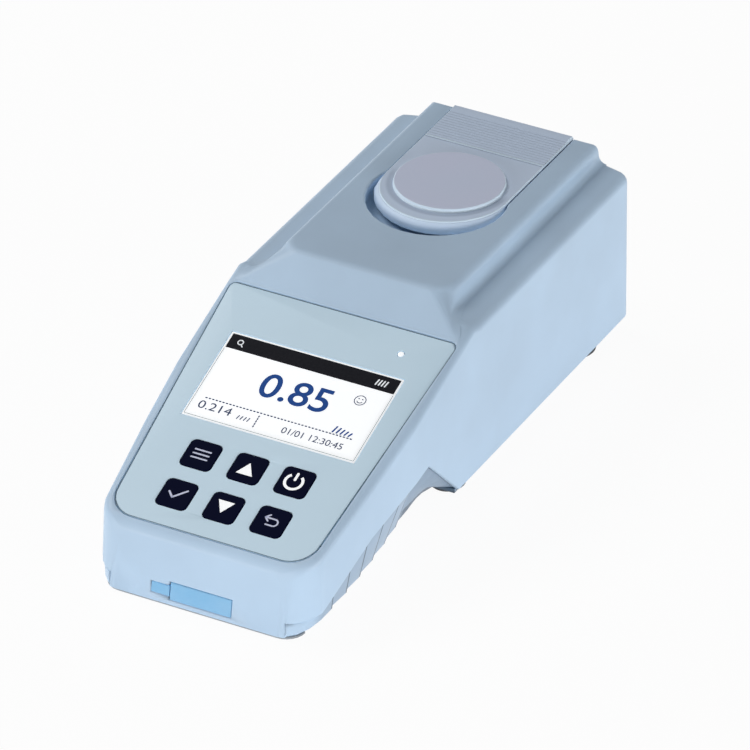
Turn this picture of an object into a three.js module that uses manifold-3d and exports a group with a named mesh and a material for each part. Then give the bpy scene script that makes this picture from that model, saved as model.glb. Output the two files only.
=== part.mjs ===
// Portable chlorine meter: a hand-held colorimeter with a flip lid over its sample well,
// a sloping key and display panel, and a ribbed grip. Millimetres, +Z up, front at -Y,
// origin at the middle of the footprint on the table.

import * as THREE from "three";
import { mergeVertices } from "three/addons/utils/BufferGeometryUtils.js";
import Module from "manifold-3d";

const wasm = await Module();
wasm.setup();

// Clearances and walls
const gap = 0.3;
const overrun = 5;
const wall = 2.4;
const lowerWall = 2.2;
const edgeBreak = 0.3;

// Overall casing
const caseLength = 228;
const caseHalfWidth = 45.2;
const sideDraft = 0.7;
const deckHeight = 70.5;
const deckRise = 6.9;
const shoulderHeight = deckHeight - deckRise;
const shoulderSlopeDrop = 0.9;
const shoulderEdgeRadius = 3;
const rearEdgeRadius = 1;
const rearCornerRadius = 3;

// Deck: the raised plateau round the lid
const deckHalfWidth = 30;
const deckSideRun = 6;
const deckEdgeRadius = 2.8;
const deckFootRadius = 3;
const deckRearRadius = 0.8;
const deckFront = 108;
const deckRampRun = 15.6;
const deckRampEdgeRadius = 6;
const deckRampFootRadius = 3;
const deckCornerRadius = 5;
const deckFlare = 15.6;
const deckHollowInset = 2.4;

// Sloping panel: its plane, and the outline of the overlay that lies in it
const panelStart = 124;
const panelStartDrop = 2.8;
const panelStartHeight = shoulderHeight - panelStartDrop;
const panelEnd = 220.8;
const panelEndHeight = 26.45;
const panelTilt = Math.atan2(panelStartHeight - panelEndHeight, panelEnd - panelStart);
const panelLength = Math.hypot(panelStartHeight - panelEndHeight, panelEnd - panelStart);
const panelTopMargin = 2.4;
const panelTopHalfWidth = caseHalfWidth - panelTopMargin;
const panelLowHalfWidth = 38;
const panelLowDistance = 88;
const panelTopCornerRadius = 2.5;
const panelLowCornerRadius = 10;
const overlayThickness = 0.8;
const rimProud = 0.25;
const rimEdgeRadius = 2.6;
const floorThickness = 2.2;

// Front end of the casing, in distances from the rear face
const taperStart = 158;
const taperMiddle = 184;
const taperMiddleHalfWidth = 43.6;
const cornerStart = 213.5;
const cornerStartHalfWidth = 40.9;
const frontCornerRadius = 10.3;
const frontLean = 4.2;
const frontEdgeRadius = 3.4;
const frontFootHeight = 1.2;

// Parting line between the two casings, seen from the side
const rearSkirtHeight = 6.5;
const notchLowDistance = 128;
const notchTopDistance = 149.3;
const notchTopHeight = 27.8;
const gripSwellDistance = 186;
const gripSwellHeight = 20;
const gripFrontDistance = 216;
const gripFrontHeight = 7;
const gripTipDistance = 221.5;
const gripTipHeight = 5.4;
const frontSeamDistance = 224.2;
const cornerSeamAcross = 33;
const cornerSeamHeight = 6;

// Lower casing and its grip
const rearPlateBottom = 4;
const rearPlateInset = 2.1;
const gripEnd = 121;
const gripSideInset = 1.2;
const gripFloorThickness = 3.4;
const ribCount = 7;
const ribPitch = 10.6;
const ribStart = 142;
const ribDepth = 0.8;
const ribStepRun = 0.35;
const waistHalfWidth = 29.3;
const gripWideHalfWidth = 39.2;
const gripWideDistance = 212;
const notchSteps = 7;
const soleEdgeRadius = 1.1;
const gripHollow = 3;
const gripHollowEnd = 160;
const lipHeight = 3;
const lipThickness = 1.6;

// Lid, its hinge and the channel that it lies in
const lidHalfWidth = 23.15;
const lidThickness = 4;
const lidRoundCentre = 48;
const lidFrontCentre = 50.4;
const lidProud = 0.5;
const lidPlateInset = 0.1;
const lidPlateEdge = 0.2;
const lipReach = 1.8;
const lipDrop = 2.3;
const lipTuck = 0.5;
const lipRise = 0.9;
const lipBlendShare = 0.35;
const pivotDistance = 4.4;
const pivotDrop = 4.4;
const knuckleClearance = 0.35;
const channelFloorDrop = 6.9;
const lidRibStart = 3.6;
const lidRibZone = 22.4;
const lidRibCount = 12;
const lidPadHeight = 0.35;
const lidRibDepth = 0.25;
const lidRibFlankShare = 0.3;
const discRadius = 19.4;
const discHeight = 1.4;
const discEdgeRadius = 0.45;
const scoopRadius = 24.5;
const scoopCentre = 57.4;
const scoopEdgeRadius = 0.9;
const scoopDepth = 6;
const scoopFloorRadius = 15;
const pinRadius = 1.25;
const pinHalfLength = 29.5;
const pinBoreClearance = 0.3;

// Sample well and optics
const wellBoreRadius = 12.8;
const wellWall = 2;
const wellFlangeRadius = 17.4;
const wellFlangeThickness = 1;
const wellBottom = 9;
const wellBaseThickness = 2.4;
const beamHeight = 30;
const beamRadius = 2.4;
const opticBodyRadius = 3.6;
const opticBodyLength = 6;
const opticStemRadius = 1.6;
const opticBoardSize = 16;
const opticBoardThickness = 1.6;
const filterThickness = 1.2;
const filterRadius = 4;
const sealThickness = 1;
const sealWidth = 3;
const shieldDepth = 3;
const shieldClearance = 0.8;

// Display and keys, in distances down the slope from the panel's top edge
const screenSideMargin = 10.2;
const screenHalfWidth = panelTopHalfWidth - screenSideMargin;
const screenStart = 19.9;
const screenEnd = 57.6;
const screenSunk = 0.15;
const backlightMargin = 4.2;
const backlightThickness = 3.4;
const keySize = 11.4;
const keyCornerRadius = 1.8;
const keyPitchAcross = 17.7;
const keyRows = [71.7, 89.3];
const keyProud = 0.3;
const keyFlangeExtra = 0.9;
const keyFlangeThickness = 0.8;
const keyStemRadius = 1.7;
const keyStemLength = 0.6;
const keyTravel = 0.5;
const keyTravelSpare = 0.1;
const switchSize = 6;
const switchHeight = 1.6;
const plungerRadius = 1.6;
const plungerHeight = 0.8;
const lampSideInset = 16.4;
const lampAcross = panelTopHalfWidth - lampSideInset;
const lampDistance = 10.1;
const lampRadius = 1.1;
const lampBodyRadius = 1.6;
const lampBodyHeight = 1.4;

// Main board and what sits on it
const boardThickness = 1.6;
const boardTopDistance = 5.6;
const boardStepDistance = 60;
const boardEndDistance = 99;
const boardSideMargin = 5.3;
const boardWideHalfWidth = panelTopHalfWidth - boardSideMargin;
const boardNarrowHalfWidth = 26;
const boardScrewInset = 3;
const boardScrewAcross = boardWideHalfWidth - boardScrewInset;
const boardScrewLowAcross = 9;
const boardScrewTop = 10;
const boardScrewLow = 97;
const boardBossRadius = 2.6;
const boardScrewRadius = 1;
const boardScrewHeadRadius = 2;
const boardScrewHeadHeight = 1.2;
const boardScrewLength = 4.6;
const buzzerRadius = 5;
const buzzerHeight = 3;
const buzzerAcross = -18;
const buzzerDistance = 80.5;

// Battery, its door and its lead
const batteryHalfWidth = 23;
const batteryLength = 44;
const batteryHeight = 10;
const batteryMiddle = 178;
const batteryEdgeRadius = 3;
const bayClearance = 1;
const doorThickness = 2;
const doorSideLap = 3;
const doorHalfWidth = batteryHalfWidth + doorSideLap;
const doorRearLap = 3;
const doorFrontLap = 10;
const doorCornerRadius = 2.5;
const doorScrewAcross = 15;
const doorScrewEdge = 4.6;
const doorScrewRadius = 1.1;
const doorScrewHeadRadius = 2.1;
const doorScrewHeadHeight = 1.1;
const doorScrewLength = 5.2;
const doorBossRadius = 2.8;
const doorBossHeight = 5;
const leadRadius = 0.9;
const leadAcross = 18;
const leadInset = 3;

// Charging port and its rubber cover, in the front face
const flapLeft = -10.4;
const flapRight = 12.9;
const flapBottom = 2.9;
const flapTop = 9.2;
const flapThickness = 1.6;
const anchorLeft = -17.3;
const anchorBottom = 3.9;
const anchorTop = 7.7;
const anchorThickness = 1.2;
const portPocketInset = 2.2;
const portPocketSide = 0.9;
const portPocketDepth = 4.2;
const portHalfWidth = 4.5;
const portHeight = 3.2;
const portRaise = 0.55;
const portDepth = 7.4;
const portShell = 0.4;
const portTongueHeight = 0.8;
const portSideMargin = 0.8;
const chargeBoardHalfWidth = 12;
const chargeBoardLength = 10;
const chargeBoardThickness = 1;
const ledgeWidth = 2;
const ledgeThickness = 1.6;

// Feet and casing screws
const footRadius = 8;
const footSideInset = 10.2;
const footAcross = caseHalfWidth - footSideInset;
const footBevel = 1.2;
const rearFootDistance = 21.5;
const middleFootRadius = 6.5;
const middleFootSideInset = 9.2;
const middleFootAcross = caseHalfWidth - middleFootSideInset;
const middleFootDistance = 118;
const soleStripWidth = 8;
const soleStripInset = 1;
const soleStripSide = 4;
const bossRadius = 3.6;
const casingScrewRadius = 1.5;
const casingScrewHeadRadius = 2.8;
const casingScrewHeadHeight = 1.6;
const casingScrewLength = 12;
const rearBossInset = 8;
const rearBossAcross = caseHalfWidth - rearBossInset;
const rearBossDistance = 40;
const frontBossAcross = 31;
const frontBossDistance = 213;

// Signal cable
const cableHalfWidth = 4;
const cableThickness = 0.6;
const cableBoardDistance = 7;

// Colours, roughness and metalness
const finishes = {
  casing: [0xb3c8da, 0.45, 0],
  casingLow: [0xb1c6d8, 0.5, 0],
  overlay: [0xb2cad6, 0.4, 0],
  screen: [0xf4f6f8, 0.2, 0],
  keyCap: [0x0c142d, 0.4, 0],
  lamp: [0xf6f8fa, 0.25, 0],
  lid: [0xa6b0c4, 0.45, 0],
  rubberBlue: [0x8fc0e4, 0.6, 0],
  rubberDark: [0x4c4f52, 0.8, 0],
  rubberSole: [0x8d8a80, 0.8, 0],
  steel: [0xb9bcc0, 0.3, 1],
  blackPlastic: [0x1b1c1f, 0.55, 0],
  board: [0x1f5c3a, 0.5, 0],
  glass: [0x9cc7d8, 0.1, 0],
  batteryWrap: [0x2f62a8, 0.4, 0],
  cable: [0xd8d9d4, 0.5, 0],
};

// Distances from the rear face become places along Y
const rearY = caseLength / 2;
const alongY = (distance) => rearY - distance;
const panelSlope = Math.tan(panelTilt);
const panelHeightAt = (distance) => panelStartHeight - (distance - panelStart) * panelSlope;

// Counts of steps in rounded shapes
const roundSides = 32;
const smallSides = 16;
const filletSteps = 4;
const cornerSteps = 6;

// Tolerances for merging corners and for telling lines that run the same way
const mergeTolerance = 1e-4;
const parallelTolerance = 1e-6;

// Solids and geometries
function solid(geometry) {
  const bare = geometry.index ? geometry.toNonIndexed() : geometry.clone();
  const places = new THREE.BufferGeometry();
  places.setAttribute("position", bare.getAttribute("position"));
  const merged = mergeVertices(places, mergeTolerance);
  return new wasm.Manifold(
    new wasm.Mesh({
      numProp: 3,
      vertProperties: new Float32Array(merged.attributes.position.array),
      triVerts: new Uint32Array(merged.index.array),
    }),
  );
}

function geometryOf(shape) {
  const { vertProperties, triVerts } = shape.getMesh();
  const geometry = new THREE.BufferGeometry();
  geometry.setAttribute("position", new THREE.BufferAttribute(vertProperties, 3));
  geometry.setIndex(new THREE.BufferAttribute(triVerts, 1));
  return geometry;
}

const moved = (geometry, x, y, z) => geometry.clone().translate(x, y, z);
const join = (...shapes) => shapes.reduce((sum, shape) => sum.add(shape));
const cut = (shape, ...tools) => tools.reduce((rest, tool) => rest.subtract(tool), shape);

// A box between two corners
function boxBetween(low, high) {
  const size = high.map((value, axis) => value - low[axis]);
  const middle = high.map((value, axis) => (value + low[axis]) / 2);
  return new THREE.BoxGeometry(...size).translate(...middle);
}

// An upright cylinder from one height to another
function post(radius, low, high, x = 0, y = 0, sides = roundSides) {
  const geometry = new THREE.CylinderGeometry(radius, radius, high - low, sides);
  return geometry.rotateX(Math.PI / 2).translate(x, y, (low + high) / 2);
}

// An outline turned about a vertical axis
function turned(points, sides = roundSides) {
  const outline = points.map(([radius, height]) => new THREE.Vector2(radius, height));
  return new THREE.LatheGeometry(outline, sides).rotateX(Math.PI / 2);
}

// A flat outline raised from one height to another
function plate(outline, low, high) {
  const shape = new THREE.Shape(outline.map(([x, y]) => new THREE.Vector2(x, y)));
  const depth = high - low;
  return new THREE.ExtrudeGeometry(shape, { depth, bevelEnabled: false }).translate(0, 0, low);
}

// An outline in the Y-Z plane, swept across X
function acrossX(outline, left, right) {
  const geometry = plate(outline, left, right);
  const turn = new THREE.Matrix4().makeBasis(
    new THREE.Vector3(0, 1, 0),
    new THREE.Vector3(0, 0, 1),
    new THREE.Vector3(1, 0, 0),
  );
  return geometry.applyMatrix4(turn);
}

// Points of an arc, from one angle to another
function arc(centreX, centreY, radius, from, to, steps) {
  return Array.from({ length: steps + 1 }, (_, step) => {
    const angle = from + ((to - from) * step) / steps;
    return [centreX + radius * Math.cos(angle), centreY + radius * Math.sin(angle)];
  });
}

// A rectangle with round corners, its middle at the origin
function roundedRectangle(halfWidth, halfHeight, radius, steps = filletSteps) {
  const quarter = Math.PI / 2;
  const x = halfWidth - radius;
  const y = halfHeight - radius;
  return [
    ...arc(x, -y, radius, -quarter, 0, steps),
    ...arc(x, y, radius, 0, quarter, steps),
    ...arc(-x, y, radius, quarter, 2 * quarter, steps),
    ...arc(-x, -y, radius, 2 * quarter, 3 * quarter, steps),
  ];
}

// An outline moved outwards by a distance, with square corners
function grown(outline, distance) {
  const count = outline.length;
  const lines = outline.map(([x, y], index) => {
    const [nextX, nextY] = outline[(index + 1) % count];
    const size = Math.hypot(nextX - x, nextY - y);
    const normal = [(nextY - y) / size, (x - nextX) / size];
    return { normal, offset: normal[0] * x + normal[1] * y + distance };
  });
  return lines.map((line, index) => {
    const last = lines[(index + count - 1) % count];
    const cross = last.normal[0] * line.normal[1] - last.normal[1] * line.normal[0];
    if (Math.abs(cross) < parallelTolerance) {
      const [x, y] = outline[index];
      return [x + line.normal[0] * distance, y + line.normal[1] * distance];
    }
    return [
      (last.offset * line.normal[1] - line.offset * last.normal[1]) / cross,
      (line.offset * last.normal[0] - last.offset * line.normal[0]) / cross,
    ];
  });
}

// A skin through closed rings of points, with flat ends. Rings run from back to front, each
// one anticlockwise as seen from the front; capAxes say which two coordinates span an end.
function skinThrough(rings, capAxes = [0, 2]) {
  const count = rings[0].length;
  const positions = rings.flat(2);
  const index = [];
  for (let ring = 0; ring < rings.length - 1; ring += 1) {
    for (let point = 0; point < count; point += 1) {
      const here = ring * count + point;
      const next = ring * count + ((point + 1) % count);
      index.push(here, next, here + count, next, next + count, here + count);
    }
  }
  const endOf = (ring) =>
    THREE.ShapeUtils.triangulateShape(
      ring.map((place) => new THREE.Vector2(place[capAxes[0]], place[capAxes[1]])),
      [],
    );
  const last = (rings.length - 1) * count;
  endOf(rings[0]).forEach(([a, b, c]) => index.push(a, c, b));
  endOf(rings[rings.length - 1]).forEach(([a, b, c]) => index.push(last + a, last + b, last + c));
  const geometry = new THREE.BufferGeometry();
  geometry.setAttribute("position", new THREE.Float32BufferAttribute(positions, 3));
  geometry.setIndex(index);
  return geometry;
}

// A step down of a given run and drop: a round edge, a straight wall and a round foot
function stepProfile(run, drop, edgeRadius, footRadius, steps) {
  const radii = edgeRadius + footRadius;
  const lean = Math.atan2(drop - radii, run) + Math.asin(radii / Math.hypot(run, drop - radii));
  const edge = arc(0, -edgeRadius, edgeRadius, Math.PI / 2, Math.PI / 2 - lean, steps);
  const foot = arc(run, footRadius - drop, footRadius, -Math.PI / 2 - lean, -Math.PI / 2, steps);
  return [...edge, ...foot];
}

// Casing body
// Half-width of the casing in plan, at a distance from the rear face
function halfWidthAt(distance) {
  const places = [
    [0, caseHalfWidth],
    [taperStart, caseHalfWidth],
    [taperMiddle, taperMiddleHalfWidth],
    [cornerStart, cornerStartHalfWidth],
  ];
  const next = Math.max(
    1,
    places.findIndex(([place]) => place >= distance),
  );
  const [startPlace, startWidth] = places[next - 1];
  const [endPlace, endWidth] = places[next];
  const share = (distance - startPlace) / (endPlace - startPlace);
  return startWidth + (endWidth - startWidth) * share;
}

// The share of the front's lean at a height: all of it at the table, none at the front's top
const frontTopHeight = panelHeightAt(cornerStart + frontCornerRadius);
const leanShareAt = (z) => Math.max(0, 1 - z / frontTopHeight);

// How far a round edge falls short of the sharp corner, at a distance in from the corner
function roundedOff(radius, distance) {
  const left = Math.max(0, radius - distance);
  return radius - Math.sqrt(radius ** 2 - left ** 2);
}

// Stations along the casing: distance, half-width, height, edge radius, and how much of the side
// walls' draft and of the front face's lean there is
function casingStations() {
  const kneeDistance = panelStart - (shoulderHeight - panelStartHeight) / panelSlope;
  const rearPlaces = [rearEdgeRadius, rearCornerRadius].flatMap((radius) =>
    arc(radius, 0, radius, Math.PI, Math.PI / 2, filletSteps - 1).map(([distance]) => distance),
  );
  const rear = [...new Set(rearPlaces)].sort((a, b) => a - b).map((distance) => ({
    distance,
    halfWidth: caseHalfWidth - roundedOff(rearCornerRadius, distance),
    height: shoulderHeight - roundedOff(rearEdgeRadius, distance),
    edge: shoulderEdgeRadius,
    drop: shoulderSlopeDrop,
    draft: sideDraft,
    lean: 0,
  }));
  const rim = (distance, halfWidth, draft, lean, sink) => ({
    distance,
    halfWidth,
    height: panelHeightAt(distance) + rimProud - sink,
    edge: rimEdgeRadius,
    drop: 0,
    draft,
    lean,
  });
  const knee = {
    ...rear[rear.length - 1],
    distance: kneeDistance,
    drop: 0,
    edge: rimEdgeRadius,
  };
  const deck = { ...rear[rear.length - 1], distance: (deckFront + kneeDistance) / 2 };
  const slopes = [panelStart, taperStart, taperMiddle, cornerStart].map((distance) =>
    rim(distance, halfWidthAt(distance), sideDraft, 0, 0),
  );
  const flat = cornerStartHalfWidth - frontCornerRadius;
  const frontTop = cornerStart + frontCornerRadius;
  const corner = arc(0, 0, frontCornerRadius, 0, Math.PI / 2, cornerSteps)
    .slice(1)
    .map(([across, forward]) => {
      const distance = cornerStart + forward;
      const into = Math.max(0, distance - (frontTop - frontEdgeRadius));
      const sink = frontEdgeRadius - Math.sqrt(Math.max(0, frontEdgeRadius ** 2 - into ** 2));
      const draft = (sideDraft * across) / frontCornerRadius;
      const lean = frontLean * (forward / frontCornerRadius) ** 2;
      return rim(distance, flat + across, draft, lean, sink);
    });
  return [...rear, deck, knee, ...slopes, ...corner];
}

// One ring of the casing's skin: up the right side, over the top and down the left side
function casingRing(station) {
  const { distance, halfWidth, height, edge, drop, draft, lean } = station;
  const top = height - drop;
  const inner = drop > 0 ? deckHalfWidth + deckSideRun : halfWidth - 2 * edge;
  const half = [
    [halfWidth + draft, 0],
    ...arc(halfWidth - edge, top - edge, edge, 0, Math.PI / 2, filletSteps),
    [inner, height],
  ];
  const place = ([x, z]) => [x, alongY(distance) - lean * leanShareAt(z), z];
  const left = half.map(([x, z]) => [-x, z]).reverse();
  return [...half, ...left].map(place);
}

// The deck: rings from its buried foot up to its flat top
function deckSolid() {
  const side = stepProfile(
    deckSideRun,
    deckHeight - shoulderHeight,
    deckEdgeRadius,
    deckFootRadius,
    filletSteps,
  );
  const surfaceAt = (distance) => Math.min(shoulderHeight, panelHeightAt(distance) + rimProud);
  const rampDrop = deckHeight - surfaceAt(deckFront + deckRampRun);
  const ramp = stepProfile(
    deckRampRun,
    rampDrop,
    deckRampEdgeRadius,
    deckRampFootRadius,
    filletSteps,
  );
  const ringAt = (level, sink) => {
    const [sideOut, sideFall] = side[level];
    const [rampOut, rampFall] = ramp[level];
    const width = deckHalfWidth + sideOut;
    const front = deckFront + rampOut;
    const rear = roundedOff(deckRearRadius, -sideFall);
    const acrossCorner = deckCornerRadius + sideOut;
    const alongCorner = deckCornerRadius + rampOut;
    const sideShare = sideFall / (shoulderHeight - deckHeight);
    const rampShare = -rampFall / rampDrop;
    const corner = arc(0, 0, 1, 0, Math.PI / 2, cornerSteps).map(([across, along]) => {
      const distance = front - alongCorner * (1 - along);
      const share = sideShare + (rampShare - sideShare) * along;
      return [
        width - acrossCorner * (1 - across) + deckFlare * (share * along) ** 2,
        alongY(distance),
        deckHeight - (deckHeight - surfaceAt(distance)) * share - sink,
      ];
    });
    const rearHeight = deckHeight + sideFall - sink;
    const right = [[width, alongY(rear), rearHeight], ...corner];
    const left = right.map(([x, y, z]) => [-x, y, z]).reverse();
    return [...right, ...left].reverse();
  };
  const levels = side.map((_, level) => ringAt(level, 0));
  const buried = ringAt(side.length - 1, wall / 2);
  return solid(skinThrough([buried, ...levels.reverse()], [0, 1]));
}

// What lies below the parting line, seen from the side, anticlockwise
const partingLine = [
  [alongY(-overrun), rearSkirtHeight],
  [alongY(notchLowDistance), rearSkirtHeight],
  [alongY(notchTopDistance), notchTopHeight],
  [alongY(gripSwellDistance), gripSwellHeight],
  [alongY(gripFrontDistance), gripFrontHeight],
];
function partingOutline(low) {
  return [
    ...partingLine,
    [alongY(gripTipDistance), gripTipHeight],
    [alongY(frontSeamDistance), frontFootHeight],
    [alongY(frontSeamDistance), low],
    [alongY(-overrun), low],
  ];
}

// What lies below the parting line at the two front corners, which it wraps round
function cornerParting(margin) {
  const outline = [
    [alongY(gripFrontDistance), gripFrontHeight + margin],
    [alongY(caseLength + overrun), cornerSeamHeight + margin],
    [alongY(caseLength + overrun), -overrun],
    [alongY(gripFrontDistance), -overrun],
  ];
  return [-1, 1].map((side) => {
    const places = [side * (cornerSeamAcross - margin), side * caseLength];
    return solid(acrossX(outline, Math.min(...places), Math.max(...places)));
  });
}

// Hollow of the casing: rings of a plain section set in by the wall
function casingHollow() {
  const roofUnderDeck = deckHeight - channelFloorDrop - wall;
  const floorDrop = (overlayThickness + gap + floorThickness) / Math.cos(panelTilt);
  const kneeDistance = panelStart + (panelStartHeight - floorDrop - roofUnderDeck) / panelSlope;
  const flat = cornerStartHalfWidth - frontCornerRadius;
  const places = [
    [wall, caseHalfWidth - wall, roofUnderDeck],
    [kneeDistance, halfWidthAt(kneeDistance) - wall, roofUnderDeck],
    ...[taperStart, taperMiddle, cornerStart].map((distance) => [
      distance,
      halfWidthAt(distance) - wall,
      panelHeightAt(distance) - floorDrop,
    ]),
    ...arc(0, 0, frontCornerRadius - wall, 0, Math.PI / 2, filletSteps)
      .slice(1)
      .map(([across, forward]) => [
        cornerStart + forward,
        flat + across,
        panelHeightAt(cornerStart + forward) - floorDrop,
      ]),
  ];
  const rings = places.map(([distance, halfWidth, roof]) => {
    const y = alongY(distance);
    return [
      [halfWidth, y, -overrun],
      [halfWidth, y, roof],
      [-halfWidth, y, roof],
      [-halfWidth, y, -overrun],
    ];
  });
  return solid(skinThrough(rings));
}

// Lid and its channel, seen from above: straight sides and a round front end, which a lip
// widens towards the front
function lidOutline(margin, rearDistance, lip = 0) {
  const radius = lidHalfWidth + margin;
  const front = arc(0, 0, 1, 0, -Math.PI, roundSides / 2).map(([across, along]) => {
    const reach = radius + lip * Math.min(1, -along / lipBlendShare);
    return [across * reach, alongY(lidFrontCentre) + along * reach];
  });
  return [[radius, alongY(rearDistance)], ...front, [-radius, alongY(rearDistance)]].reverse();
}

const channelFloor = deckHeight - channelFloorDrop;
const lidTop = deckHeight + lidProud;
const padTop = lidTop + lidPadHeight;
const knuckleRoom = Math.hypot(pivotDistance, padTop - deckHeight + pivotDrop) + knuckleClearance;
const pivotHeight = deckHeight - pivotDrop;
const pivotY = alongY(pivotDistance);

// A drum along X round the hinge axis
function hingeDrum(radius, halfLength, sides = roundSides) {
  const drum = new THREE.CylinderGeometry(radius, radius, 2 * halfLength, sides);
  return solid(drum.rotateZ(Math.PI / 2).translate(0, pivotY, pivotHeight));
}

// Finger scoop in front of the lid: a shallow bowl, grown by a margin for its underside
function scoopSolid(margin) {
  const top = deckHeight + overrun;
  const floor = deckHeight - scoopDepth - margin;
  const slope = scoopRadius - scoopFloorRadius;
  const deep = scoopDepth + margin - scoopEdgeRadius;
  const bowl = arc(0, 0, 1, 0, Math.PI / 2, cornerSteps).map(([inward, down]) => [
    scoopFloorRadius + margin + slope * Math.sqrt(Math.max(0, 1 - (1 - inward) ** 2)),
    floor + deep * (1 - down),
  ]);
  const edge = arc(
    scoopRadius + margin + scoopEdgeRadius,
    deckHeight - scoopEdgeRadius,
    scoopEdgeRadius,
    Math.PI / 2,
    Math.PI,
    filletSteps - 1,
  );
  const rim = [scoopRadius + margin + scoopEdgeRadius, top];
  const outline = [[0, top], rim, ...edge.slice(0, -1), ...bowl, [0, floor]];
  return solid(moved(turned(outline.reverse()), 0, alongY(scoopCentre), 0));
}

// Panel frame: x across, y up the slope, z out of the panel, zero on the overlay's top edge
const panelGroup = new THREE.Group();
panelGroup.position.set(0, alongY(panelStart), panelStartHeight);
panelGroup.rotation.x = panelTilt;
panelGroup.updateMatrixWorld(true);
const onPanel = (geometry) => solid(geometry.clone().applyMatrix4(panelGroup.matrixWorld));

function panelOutline(margin) {
  const topCorner = panelTopCornerRadius + margin;
  const lowCorner = panelLowCornerRadius + margin;
  const lean = Math.atan2(panelTopHalfWidth - panelLowHalfWidth, panelLowDistance);
  const top = arc(
    panelTopHalfWidth + margin - topCorner,
    margin - topCorner,
    topCorner,
    -lean,
    Math.PI / 2,
    filletSteps,
  );
  const low = arc(
    panelLowHalfWidth + margin - lowCorner,
    lowCorner - margin - panelLength,
    lowCorner,
    -Math.PI / 2,
    -lean,
    cornerSteps,
  );
  const right = [...low, ...top];
  const left = right.map(([x, y]) => [-x, y]).reverse();
  return [...right, ...left];
}

const overlayBottom = -overlayThickness;
const recessFloor = overlayBottom - gap;
const floorUnderside = recessFloor - floorThickness;
const screenMiddle = -(screenStart + screenEnd) / 2;
const screenHalfHeight = (screenEnd - screenStart) / 2;
const keyPlaces = keyRows.flatMap((row) => [-1, 0, 1].map((side) => [side * keyPitchAcross, -row]));
const keyFlangeTop = floorUnderside - gap;
const keyFlangeBottom = keyFlangeTop - keyFlangeThickness;
const keyStemBottom = keyFlangeBottom - keyStemLength;
const plungerTop = keyStemBottom - keyTravel - keyTravelSpare;
const switchTop = plungerTop - plungerHeight;
const boardTop = switchTop - switchHeight - gap;
const boardBottom = boardTop - boardThickness;
const keyHalf = keySize / 2;

function keyOpening([x, y]) {
  const outline = roundedRectangle(keyHalf + gap, keyHalf + gap, keyCornerRadius + gap);
  return onPanel(moved(plate(outline, floorUnderside - overrun, overrun), x, y, 0));
}

const boardScrewPlaces = [
  [boardScrewAcross, -boardScrewTop],
  [-boardScrewAcross, -boardScrewTop],
  [boardScrewLowAcross, -boardScrewLow],
  [-boardScrewLowAcross, -boardScrewLow],
];
const casingScrewPlaces = [
  [rearBossAcross, rearBossDistance],
  [-rearBossAcross, rearBossDistance],
  [frontBossAcross, frontBossDistance],
  [-frontBossAcross, frontBossDistance],
];

// Front face: a block set in from it by two depths, between two heights
const frontFaceY = (z) =>
  alongY(cornerStart + frontCornerRadius) - frontLean * (1 - z / frontTopHeight);
function frontBlock(left, right, low, high, outer, inner) {
  const outline = [
    [frontFaceY(low) + outer, low],
    [frontFaceY(low) + inner, low],
    [frontFaceY(high) + inner, high],
    [frontFaceY(high) + outer, high],
  ];
  return solid(acrossX(outline, left, right));
}

const portMiddleAcross = (flapLeft + flapRight) / 2;
const portMiddleHeight = (flapBottom + flapTop) / 2 + portRaise;
const pocketInner = flapThickness + gap + portPocketDepth;

const chargeBoardFront = frontFaceY(portMiddleHeight) + pocketInner + 2 * gap;
const chargeBoardLow = portMiddleHeight + portHeight / 2 + gap;
function chargeLedges() {
  const top = chargeBoardLow - gap;
  return [-chargeBoardHalfWidth, chargeBoardHalfWidth - ledgeWidth].map((left) =>
    solid(
      boxBetween(
        [portMiddleAcross + left, frontFaceY(top) + wall / 2, top - ledgeThickness],
        [portMiddleAcross + left + ledgeWidth, chargeBoardFront + chargeBoardLength, top],
      ),
    ),
  );
}

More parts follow.
